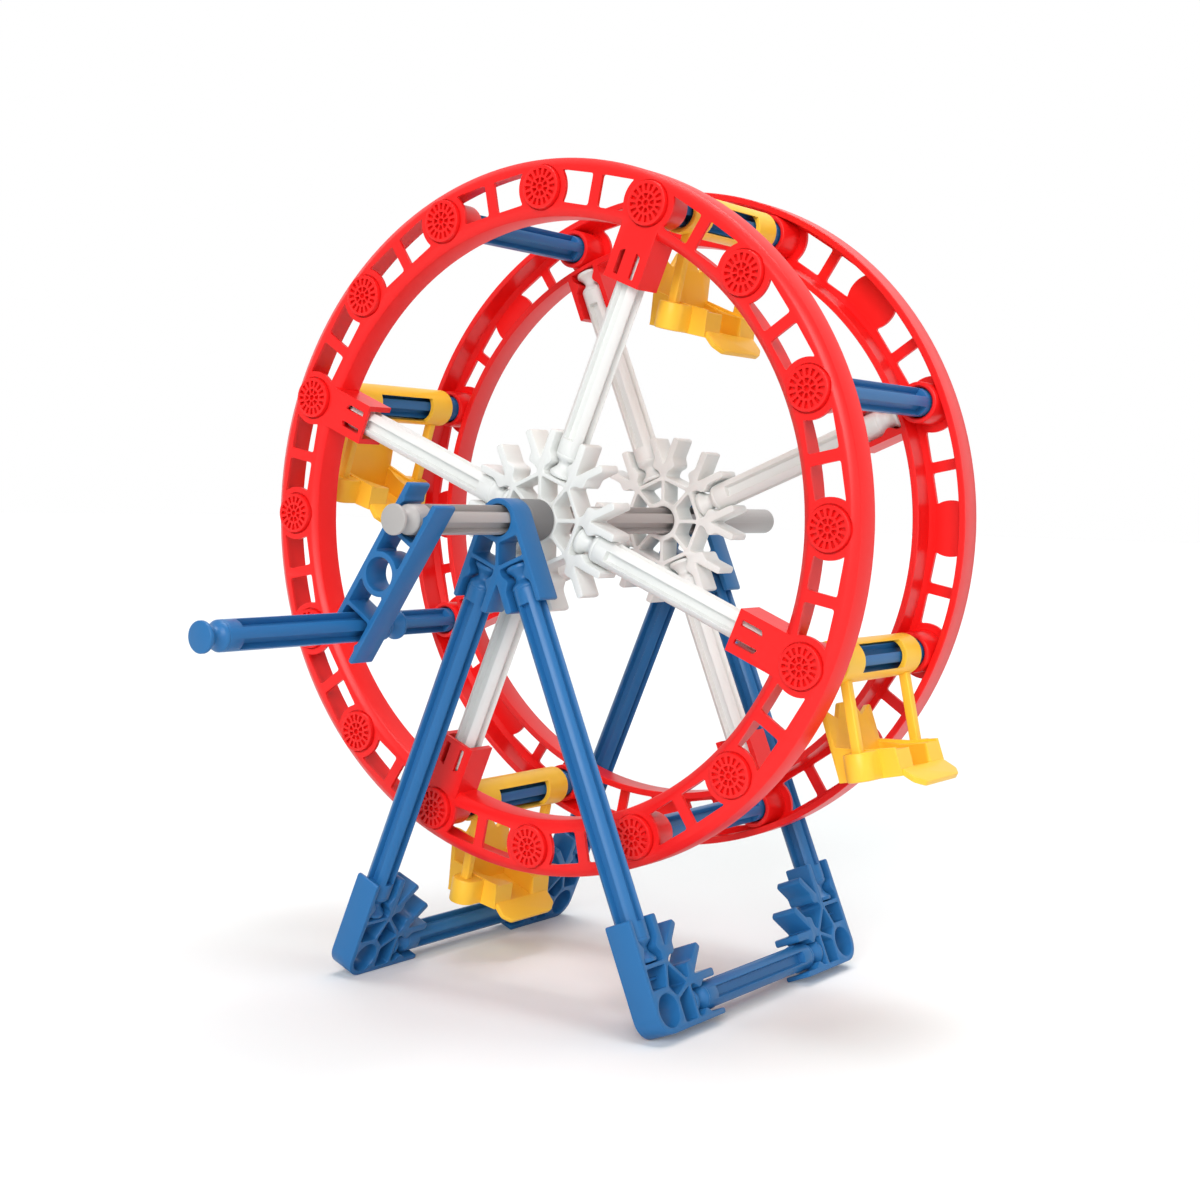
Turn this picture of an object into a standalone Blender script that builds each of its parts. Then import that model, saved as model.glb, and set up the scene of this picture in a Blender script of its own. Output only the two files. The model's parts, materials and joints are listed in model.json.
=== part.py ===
"""Building block ferris wheel: a hand-cranked wheel of snap-in rods and connectors.

Metres, +Z up. The axle runs along Y with the crank at -Y. The origin is on the floor,
under the middle of the object's bounding box.
"""
import math

import bmesh
import bpy
from mathutils import Matrix, Vector

# General clearances
FIT = 0.0003                 # gap between neighbouring moulded pieces

# Rods
ROD_R = 0.0031               # over the four ridges
GROOVE_R = 0.0022            # bottom of the grooves
RIDGE_HALF_ANGLE = math.radians(16.0)
HEAD_R = 0.0029
HEAD_T = 0.0009
NECK_R = 0.0019
NECK_AT = 0.0020             # the neck's thinnest place, from the rod's end
SHOULDER_END = 0.0034
COLLAR_END = 0.0085
GROOVE_RUN = 0.0005          # the collar fades into the grooves over this length
SHORT_ROD = 0.0546
AXLE_ROD = 0.1487
JOURNAL_END = 0.0084         # plain end of a cross rod

# Connectors
PLATE_T = 0.0062
RIM_WALL = 0.0012            # around the centre hole, and the outer flanges
ROD_END_AT = 0.0102          # connector centre to the rod's end
BACK_WALL = 0.0009
REACH = 0.0193               # connector centre to the finger tips
FINGER_WALL = 0.0017
RIB = 0.0009
SOCKET_STEP = math.radians(45.0)
HOLE_STEPS = 12
ROUND_STEPS = 10             # sides of the small round discs, bosses and bores

# Stand
LEG_SPREAD = math.radians(22.5)      # each leg from the vertical
WHEEL_Y = 0.0014                     # wheel's middle from the stand's middle

# Crank
AXLE_OUT = 0.0361            # near frame's middle plane to the axle's crank end
CRANK_BAR_OUT = 0.0315       # near frame's middle plane to the bar's outer face
CRANK_LEAN = math.radians(34.0)
HANDLE_OUT = 0.0174          # near frame's middle plane to the handle's inner end
CLIP_LIP_HALF = 0.0028       # half the gap between a jaw's lips
CLIP_LIP_RUN = 0.0008

# Wheel
WHEEL_TURN = math.radians(22.5)      # first disc, clockwise from the top
DISC_COUNT = 16
RING_HALF_W = 0.00615
SPOKE_LET_IN = 0.0002        # spoke's end past the ring's inner edge
CROSS_ROD_GAP = 0.0005       # cross rod's end to the ring's plate
RING_RIM_T = 0.0062
RING_WALL = 0.0015
RING_PLATE_T = 0.0008
RING_CHAMFER_W = 0.0015
RING_CHAMFER_T = 0.0011
RING_STEPS = 48
DISC_R = 0.0046
DISC_RAISE = 0.0012
WEB_R = 0.0062               # round web about each disc
WINDOW_HALF_W = 0.0034
MID_WEB = 0.0024
BOSS_WALL = 0.0011
BOSS_PROUD = 0.0010
TAB_WALL = 0.0012
TAB_REACH = 0.0108           # inward from the ring's inner edge
TAB_SLOT_L = 0.0056
TAB_SLOT_W = 0.0012
TAB_SLOT_AT = 0.00205        # from the tab's middle line
TAB_SLOT_END = 0.0012        # from the tab's end
SPACER_WALL = 0.0011

# Seats
SLEEVE_WALL = 0.0011
SLEEVE_HALF_L = 0.0170
SLEEVE_WINDOW_HALF = 0.0095
POST_R = 0.0012
POST_Y = 0.0135
POST_X = 0.0013
LUG_R = 0.0031
SEAT_HALF_W = 0.0104
SEAT_WALL = 0.0012
SEAT_BACK_X = -0.0057        # at the floor
SEAT_BACK_LEAN = math.radians(7.0)
SEAT_FRONT_X = 0.0087        # at the floor
SEAT_FRONT_TOP_X = 0.0080
SEAT_FLOOR_Z = -0.0245
SEAT_SIDE_BACK_Z = -0.0170
SEAT_SIDE_MIDDLE_Z = -0.0183
SEAT_SIDE_FRONT_Z = -0.0187
SIDE_WALL = 0.0009
LEDGE_DROP = 0.0007
LUG_TOP_Z = -0.0186
WELL_FRONT_HALF = 0.0039
CROWN_CORNER_Z = -0.0096
CROWN_NOTCH_Z = -0.0115
CROWN_MIDDLE_Z = -0.0082
CROWN_NOTCH_Y = 0.0054
CROWN_MIDDLE_Y = 0.0028
CROWN_CORNER_W = 0.0012
FOOTREST_DROP = 0.0029
FOOTREST_REACH = 0.0036
FOOTREST_HALF_W = 0.0098
FOOTREST_CHAMFER_W = 0.0024
FOOTREST_CHAMFER_L = 0.0018
FOOTREST_T = 0.0012
SEAT_SWING = [math.radians(a) for a in (-13.0, 12.3, -11.5, -17.5)]

# Derived sizes
HOLE_R = ROD_R + FIT
RIM_R = HOLE_R + RIM_WALL
SOCKET_HALF = ROD_R + FIT
FLANGE_OUT = SOCKET_HALF + RIM_WALL
BACK_FACE = ROD_END_AT - FIT
BACK_INNER = BACK_FACE - BACK_WALL
STAND_PITCH = SHORT_ROD + 2 * ROD_END_AT
LEG_PITCH = math.sqrt(2) * STAND_PITCH
LONG_ROD = LEG_PITCH - 2 * ROD_END_AT
AXLE_NEAR_END = STAND_PITCH / 2 + AXLE_OUT
CRANK_BAR_FACE = STAND_PITCH / 2 + CRANK_BAR_OUT
HANDLE_NEAR_END = STAND_PITCH / 2 + HANDLE_OUT + SHORT_ROD
CLIP_AT = BACK_FACE + FIT + ROD_R
LIP_AT = CLIP_AT + math.sqrt((ROD_R + 2 * FIT) ** 2 - CLIP_LIP_HALF ** 2)
AXLE_HEIGHT = (
    LEG_PITCH * math.cos(LEG_SPREAD)
    + FLANGE_OUT * math.cos(LEG_SPREAD)
    + PLATE_T / 2 * math.sin(LEG_SPREAD)
)
SPOKE_OUT_R = ROD_END_AT + SHORT_ROD
RING_IN_R = SPOKE_OUT_R - SPOKE_LET_IN
RING_MID_R = RING_IN_R + RING_HALF_W
RING_OUT_R = RING_MID_R + RING_HALF_W
RING_FLOOR_Y = SHORT_ROD / 2 + CROSS_ROD_GAP
RING_FACE_Y = RING_FLOOR_Y + RING_PLATE_T
RING_RIM_Y = RING_FACE_Y - RING_CHAMFER_T
RING_MID_Y = RING_RIM_Y - RING_RIM_T / 2
RING_OPEN_Y = RING_MID_Y - RING_RIM_T / 2

NEAR_FAR = {"near": -1, "far": 1}
LEFT_RIGHT = {"left": -1, "right": 1}


def clear_scene():
    """Start from an empty scene."""
    for obj in list(bpy.data.objects):
        bpy.data.objects.remove(obj, do_unlink=True)


def new_collection(name):
    """Make a collection under the scene."""
    coll = bpy.data.collections.new(name)
    bpy.context.scene.collection.children.link(coll)
    return coll


def plastic(name, colour, roughness=0.35):
    """Make one moulded-plastic material."""
    mat = bpy.data.materials.new(name)
    mat.use_nodes = True
    shader = mat.node_tree.nodes["Principled BSDF"]
    shader.inputs["Base Color"].default_value = (*colour, 1.0)
    shader.inputs["Roughness"].default_value = roughness
    mat.diffuse_color = (*colour, 1.0)
    return mat


BLUE = (0.030, 0.150, 0.400)
RED = (1.000, 0.030, 0.030)
WHITE = (0.850, 0.850, 0.830)
GREY = (0.420, 0.400, 0.395)
DARK_GREY = (0.180, 0.180, 0.180)
YELLOW = (1.000, 0.500, 0.040)


def place(name, mesh, colour, matrix, collection):
    """Put a mesh in the scene as one named sub-part with its own material."""
    obj = bpy.data.objects.new(name, mesh)
    collection.objects.link(obj)
    if not mesh.materials:
        mesh.materials.append(None)
    obj.matrix_world = matrix
    obj.material_slots[0].link = "OBJECT"
    obj.material_slots[0].material = plastic(name + "_plastic", colour)
    return obj


def mesh_from(bm, name):
    """Turn a bmesh into a mesh with its faces outward."""
    bmesh.ops.remove_doubles(bm, verts=bm.verts, dist=1e-6)
    bmesh.ops.recalc_face_normals(bm, faces=bm.faces)
    mesh = bpy.data.meshes.new(name)
    bm.to_mesh(mesh)
    bm.free()
    return mesh


def extruded(name, loops, thickness):
    """Extrude flat outlines, holes included, to a plate centred on local Z."""
    curve = bpy.data.curves.new(name + "_outline", "CURVE")
    curve.dimensions = "2D"
    curve.fill_mode = "BOTH"
    curve.extrude = thickness / 2
    for loop in loops:
        spline = curve.splines.new("POLY")
        spline.points.add(len(loop) - 1)
        for point, (x, y) in zip(spline.points, loop):
            point.co = (x, y, 0.0, 1.0)
        spline.use_cyclic_u = True
    holder = bpy.data.objects.new(name + "_outline", curve)
    bpy.context.scene.collection.objects.link(holder)
    bpy.context.view_layer.update()
    flat = bpy.data.meshes.new_from_object(holder)
    bpy.data.objects.remove(holder)
    bpy.data.curves.remove(curve)
    bm = bmesh.new()
    bm.from_mesh(flat)
    bpy.data.meshes.remove(flat)
    return mesh_from(bm, name)


def lofted(name, sections):
    """Join rings of points into one closed solid, with flat ends."""
    bm = bmesh.new()
    rings = [[bm.verts.new(p) for p in section] for section in sections]
    for lower, upper in zip(rings, rings[1:]):
        count = len(lower)
        for i in range(count):
            j = (i + 1) % count
            bm.faces.new((lower[i], lower[j], upper[j], upper[i]))
    bm.faces.new(list(reversed(rings[0])))
    bm.faces.new(rings[-1])
    return mesh_from(bm, name)


def box(name, lo, hi):
    """Make a box between two corners."""
    bm = bmesh.new()
    size = Vector(hi) - Vector(lo)
    middle = (Vector(hi) + Vector(lo)) / 2
    bmesh.ops.create_cube(bm, size=1.0, matrix=Matrix.Translation(middle) @ Matrix.Diagonal((*size, 1.0)))
    return mesh_from(bm, name)


def cylinder(name, radius, lo, hi, steps, turn=0.0):
    """Make a cylinder along local Z, from lo to hi."""
    bm = bmesh.new()
    bmesh.ops.create_cone(
        bm, cap_ends=True, segments=steps, radius1=radius, radius2=radius, depth=hi - lo,
        matrix=Matrix.Translation((0, 0, (lo + hi) / 2)) @ Matrix.Rotation(turn, 4, "Z"),
    )
    return mesh_from(bm, name)


def moved(mesh, matrix):
    """Move a mesh's points."""
    mesh.transform(matrix)
    mesh.update()
    return mesh


def merged(name, meshes):
    """Put several separate solids in one mesh."""
    bm = bmesh.new()
    for mesh in meshes:
        bm.from_mesh(mesh)
        bpy.data.meshes.remove(mesh)
    out = bpy.data.meshes.new(name)
    bm.to_mesh(out)
    bm.free()
    return out


def combined(name, base, tools, operation, cutters):
    """Join to, or cut from, a base solid with exact booleans."""
    holder = bpy.data.objects.new(name + "_base", base)
    cutters.objects.link(holder)
    helpers = []
    for i, tool in enumerate(tools):
        helper = bpy.data.objects.new(f"{name}_tool_{i}", tool)
        helper.hide_render = True
        helper.display_type = "WIRE"
        cutters.objects.link(helper)
        modifier = holder.modifiers.new(f"tool_{i}", "BOOLEAN")
        modifier.operation = operation
        modifier.solver = "EXACT"
        modifier.object = helper
        helpers.append(helper)
    bpy.context.view_layer.update()
    evaluated = holder.evaluated_get(bpy.context.evaluated_depsgraph_get())
    out = bpy.data.meshes.new_from_object(evaluated)
    out.name = name
    for obj in [holder, *helpers]:
        mesh = obj.data
        bpy.data.objects.remove(obj)
        bpy.data.meshes.remove(mesh)
    bm = bmesh.new()
    bm.from_mesh(out)
    bmesh.ops.remove_doubles(bm, verts=bm.verts, dist=1e-6)
    bmesh.ops.dissolve_limit(bm, angle_limit=0.0005, verts=bm.verts, edges=bm.edges)
    bmesh.ops.triangulate(bm, faces=bm.faces)
    bm.to_mesh(out)
    bm.free()
    out.materials.clear()
    return out


# Rods


def rod_ring(z, radius, groove):
    """One cross-section: two points on each ridge and one in each groove."""
    points = []
    for quarter in range(4):
        middle = quarter * math.pi / 2
        for angle, r in (
            (middle - RIDGE_HALF_ANGLE, radius),
            (middle + RIDGE_HALF_ANGLE, radius),
            (middle + math.pi / 4, groove),
        ):
            points.append((r * math.cos(angle), r * math.sin(angle), z))
    return points


def rod_end():
    """Snap-in end: distance from the end, ridge radius, groove radius."""
    return [
        (0.0, HEAD_R, HEAD_R),
        (HEAD_T, HEAD_R, HEAD_R),
        (NECK_AT, NECK_R, NECK_R),
        (SHOULDER_END, ROD_R, ROD_R),
        (COLLAR_END, ROD_R, ROD_R),
        (COLLAR_END + GROOVE_RUN, ROD_R, GROOVE_R),
    ]


def journal_end():
    """Plain round end of a cross rod."""
    return [
        (0.0, ROD_R, ROD_R),
        (JOURNAL_END, ROD_R, ROD_R),
        (JOURNAL_END + GROOVE_RUN, ROD_R, GROOVE_R),
    ]


def rod(name, length, end):
    """A ridged rod along local Z, from 0 to its length."""
    steps = end + [(length - z, r, g) for z, r, g in reversed(end)]
    return lofted(name, [rod_ring(z, r, g) for z, r, g in steps])


# Connectors


def polar(angle, along, side):
    """A point given along and across a direction in the connector's plane."""
    c = math.cos(angle)
    s = math.sin(angle)
    return (along * c - side * s, along * s + side * c)


def arc(radius, start, end, steps, centre=(0.0, 0.0)):
    """Points on an arc, both ends included."""
    return [
        (
            centre[0] + radius * math.cos(start + (end - start) * i / steps),
            centre[1] + radius * math.sin(start + (end - start) * i / steps),
        )
        for i in range(steps + 1)
    ]


def jaw_side(angle, side):
    """One side of a socket, from its back wall out to its finger tip."""
    head = HEAD_R + FIT
    neck = NECK_R + FIT
    return [
        polar(angle, BACK_FACE, side * head),
        polar(angle, ROD_END_AT + HEAD_T, side * head),
        polar(angle, ROD_END_AT + NECK_AT, side * neck),
        polar(angle, ROD_END_AT + SHOULDER_END, side * SOCKET_HALF),
        polar(angle, REACH, side * SOCKET_HALF),
    ]


def socket(angle):
    """Outline of one socket, in from one finger tip and out to the other."""
    return list(reversed(jaw_side(angle, -1))) + jaw_side(angle, 1)


def finger_notch(angle):
    """Outline across the split finger between this socket and the next."""
    outer = SOCKET_HALF + FINGER_WALL
    middle = angle + SOCKET_STEP / 2
    root = outer / math.sin(SOCKET_STEP / 2)
    return [
        polar(angle, REACH, outer),
        polar(middle, root, 0.0),
        polar(angle + SOCKET_STEP, REACH, -outer),
    ]


def middle_pocket(angle):
    """Pocket behind a back wall, between two ribs."""
    half = SOCKET_STEP / 2
    slant = RIB / 2 / math.cos(half)
    return [
        polar(angle, RIM_R, RIM_R * math.tan(half) - slant),
        polar(angle, BACK_INNER, BACK_INNER * math.tan(half) - slant),
        polar(angle, BACK_INNER, -(BACK_INNER * math.tan(half) - slant)),
        polar(angle, RIM_R, -(RIM_R * math.tan(half) - slant)),
    ]


def side_pocket(angle, side):
    """Pocket behind an end socket's back wall, against the outer flange."""
    half = SOCKET_STEP / 2
    slant = RIB / 2 / math.cos(half)
    return [
        polar(angle, RIM_R, -side * (RIM_R * math.tan(half) - slant)),
        polar(angle, RIM_R, side * SOCKET_HALF),
        polar(angle, BACK_INNER, side * SOCKET_HALF),
        polar(angle, BACK_INNER, -side * (BACK_INNER * math.tan(half) - slant)),
    ]


def fan_connector(name, count):
    """A connector with sockets 45 degrees apart, the first along local X."""
    angles = [i * SOCKET_STEP for i in range(count)]
    last = angles[-1]
    loops = []
    outline = [polar(0.0, REACH, -FLANGE_OUT)]
    for angle in angles:
        outline += socket(angle)
        if angle != last:
            outline += finger_notch(angle)
    outline.append(polar(last, REACH, FLANGE_OUT))
    outline += arc(FLANGE_OUT, last + math.pi / 2, 1.5 * math.pi, 6)
    loops.append(outline)
    loops.append(arc(HOLE_R, 0.0, 2 * math.pi, HOLE_STEPS)[:-1])
    loops.append(side_pocket(0.0, -1))
    loops += [middle_pocket(angle) for angle in angles[1:-1]]
    loops.append(side_pocket(last, 1))
    return extruded(name, loops, PLATE_T)


def star_connector(name):
    """A hub with eight sockets, the first along local X."""
    angles = [i * SOCKET_STEP for i in range(round(2 * math.pi / SOCKET_STEP))]
    outline = []
    for angle in angles:
        outline += socket(angle) + finger_notch(angle)
    loops = [outline, arc(HOLE_R, 0.0, 2 * math.pi, HOLE_STEPS)[:-1]]
    loops += [middle_pocket(angle) for angle in angles]
    return extruded(name, loops, PLATE_T)


def straight_connector(name):
    """A bar with a jaw at each end along local X, clipped across two rods."""
    half = HOLE_R + RIM_WALL
    outline = []
    for angle in (0.0, math.pi):
        outline += [
            polar(angle, REACH, -FLANGE_OUT),
            polar(angle, REACH, -SOCKET_HALF),
            polar(angle, LIP_AT + CLIP_LIP_RUN, -SOCKET_HALF),
            polar(angle, LIP_AT, -CLIP_LIP_HALF),
            polar(angle, LIP_AT - CLIP_LIP_RUN, -SOCKET_HALF),
            polar(angle, BACK_FACE, -SOCKET_HALF),
            polar(angle, BACK_FACE, SOCKET_HALF),
            polar(angle, LIP_AT - CLIP_LIP_RUN, SOCKET_HALF),
            polar(angle, LIP_AT, CLIP_LIP_HALF),
            polar(angle, LIP_AT + CLIP_LIP_RUN, SOCKET_HALF),
            polar(angle, REACH, SOCKET_HALF),
            polar(angle, REACH, FLANGE_OUT),
        ]
    loops = [outline, arc(HOLE_R, 0.0, 2 * math.pi, HOLE_STEPS)[:-1]]
    for angle in (0.0, math.pi):
        rim = [polar(angle, math.sqrt(half * half - s * s), s) for s in (
            -0.72 * SOCKET_HALF, 0.0, 0.72 * SOCKET_HALF)]
        loops.append(rim + [
            polar(angle, RIM_R, SOCKET_HALF),
            polar(angle, BACK_INNER, SOCKET_HALF),
            polar(angle, BACK_INNER, -SOCKET_HALF),
            polar(angle, RIM_R, -SOCKET_HALF),
        ])
    return extruded(name, loops, PLATE_T)


# Wheel rings, built with their axis along local Z and their open side toward -Z


def ring_channel(name):
    """Turn the rim's channel section about local Z."""
    section = [
        (RING_OUT_R, RING_OPEN_Y),
        (RING_OUT_R, RING_RIM_Y),
        (RING_OUT_R - RING_CHAMFER_W, RING_FACE_Y),
        (RING_IN_R + RING_CHAMFER_W, RING_FACE_Y),
        (RING_IN_R, RING_RIM_Y),
        (RING_IN_R, RING_OPEN_Y),
        (RING_IN_R + RING_WALL, RING_OPEN_Y),
        (RING_IN_R + RING_WALL, RING_FLOOR_Y),
        (RING_OUT_R - RING_WALL, RING_FLOOR_Y),
        (RING_OUT_R - RING_WALL, RING_OPEN_Y),
    ]
    bm = bmesh.new()
    verts = [bm.verts.new((r, 0.0, z)) for r, z in section]
    edges = [bm.edges.new((verts[i], verts[(i + 1) % len(verts)])) for i in range(len(verts))]
    bmesh.ops.spin(
        bm, geom=verts + edges, cent=(0, 0, 0), axis=(0, 0, 1),
        angle=2 * math.pi, steps=RING_STEPS, use_merge=True,
    )
    return mesh_from(bm, name)


def ring_window(direction, side):
    """One window in the plate, between a round web and the middle web."""
    lo = RING_MID_R - WINDOW_HALF_W
    hi = RING_MID_R + WINDOW_HALF_W
    corner = math.acos(min(1.0, WINDOW_HALF_W / WEB_R))
    half_step = math.pi / DISC_COUNT
    web = [
        (RING_MID_R + WEB_R * math.cos(a), WEB_R * math.sin(a))
        for a in [math.pi - corner - (math.pi - 2 * corner) * i / 2 for i in range(3)]
    ]
    far_out = hi * math.sin(half_step) - MID_WEB / 2 / math.cos(half_step)
    far_in = lo * math.sin(half_step) - MID_WEB / 2 / math.cos(half_step)
    far = [(hi * math.cos(half_step), far_out), (lo * math.cos(half_step), far_in)]
    c = math.cos(direction)
    s = math.sin(direction)
    return [(x * c - side * y * s, x * s + side * y * c) for x, y in web + far]


def ring_mesh(name, cutters):
    """One wheel ring: channel, windows, discs, bosses and spoke tabs."""
    channel = ring_channel(name + "_channel")
    step = 2 * math.pi / DISC_COUNT
    windows = [ring_window(i * step, side) for i in range(DISC_COUNT) for side in (-1, 1)]
    window_tool = moved(
        extruded(name + "_windows", windows, 4 * RING_PLATE_T),
        Matrix.Translation((0, 0, RING_FACE_Y)),
    )
    ring = combined(name + "_pierced", channel, [window_tool], "DIFFERENCE", cutters)

    sink = RING_PLATE_T / 2
    half_side = math.pi / ROUND_STEPS
    discs = []
    for i in range(DISC_COUNT):
        disc = cylinder(
            "disc", DISC_R, RING_FACE_Y - sink, RING_FACE_Y + DISC_RAISE, ROUND_STEPS, half_side)
        discs.append(moved(disc, Matrix.Rotation(i * step, 4, "Z") @ Matrix.Translation((RING_MID_R, 0, 0))))
    bosses = []
    for i in range(0, DISC_COUNT, 2):
        boss = cylinder(
            "boss", HOLE_R + BOSS_WALL, RING_OPEN_Y - BOSS_PROUD, RING_FLOOR_Y + sink,
            ROUND_STEPS, half_side)
        bosses.append(moved(boss, Matrix.Rotation(i * step, 4, "Z") @ Matrix.Translation((RING_MID_R, 0, 0))))
    tabs = []
    half = SOCKET_HALF + TAB_WALL
    root = RING_IN_R + RING_CHAMFER_W - sink
    profile = [
        (RING_IN_R - TAB_REACH, RING_OPEN_Y),
        (root, RING_OPEN_Y),
        (root, RING_FLOOR_Y + sink),
        (root + 2 * sink, RING_FLOOR_Y + sink),
        (root + 2 * sink, RING_FACE_Y),
        (RING_IN_R - TAB_REACH, RING_FACE_Y),
    ]
    for i in range(0, DISC_COUNT, 4):
        tab = moved(extruded("tab", [profile], 2 * half), Matrix.Rotation(math.pi / 2, 4, "X"))
        tabs.append(moved(tab, Matrix.Rotation(i * step, 4, "Z")))
    ring = combined(
        name + "_joined", ring,
        [merged("discs", discs), merged("bosses", bosses), merged("tabs", tabs)], "UNION", cutters)

    bores = []
    for i in range(0, DISC_COUNT, 2):
        bore = cylinder(
            "bore", HOLE_R, RING_OPEN_Y - 2 * BOSS_PROUD, RING_FLOOR_Y, ROUND_STEPS, half_side)
        bores.append(moved(bore, Matrix.Rotation(i * step, 4, "Z") @ Matrix.Translation((RING_MID_R, 0, 0))))
    pockets = []
    slots = []
    neck = NECK_R + 2 * FIT
    for i in range(0, DISC_COUNT, 4):
        outline = [
            (RING_IN_R - TAB_REACH - FIT, -SOCKET_HALF),
            (SPOKE_OUT_R - SHOULDER_END, -SOCKET_HALF),
            (SPOKE_OUT_R - NECK_AT, -neck),
            (SPOKE_OUT_R - HEAD_T, -SOCKET_HALF),
            (SPOKE_OUT_R + FIT, -SOCKET_HALF),
        ]
        outline += [(x, -y) for x, y in reversed(outline)]
        depth = RING_FLOOR_Y - RING_OPEN_Y + BOSS_PROUD
        pocket = moved(
            extruded("pocket", [outline], depth),
            Matrix.Translation((0, 0, RING_FLOOR_Y - depth / 2)))
        pockets.append(moved(pocket, Matrix.Rotation(i * step, 4, "Z")))
        for side in (-1, 1):
            start = RING_IN_R - TAB_REACH + TAB_SLOT_END
            slot = box(
                "slot", (start, side * TAB_SLOT_AT - TAB_SLOT_W / 2, RING_FLOOR_Y - RING_PLATE_T),
                (start + TAB_SLOT_L, side * TAB_SLOT_AT + TAB_SLOT_W / 2, RING_FACE_Y + RING_PLATE_T))
            slots.append(moved(slot, Matrix.Rotation(i * step, 4, "Z")))
    return combined(
        name, ring, [merged("bores", bores), merged("pockets", pockets), merged("slots", slots)],
        "DIFFERENCE", cutters)


# Seats, built about their cross rod: local Y along the rod, +X forward


def lengthwise(mesh):
    """Turn a mesh's Z axis onto Y."""
    return moved(mesh, Matrix.Rotation(-math.pi / 2, 4, "X"))


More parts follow.
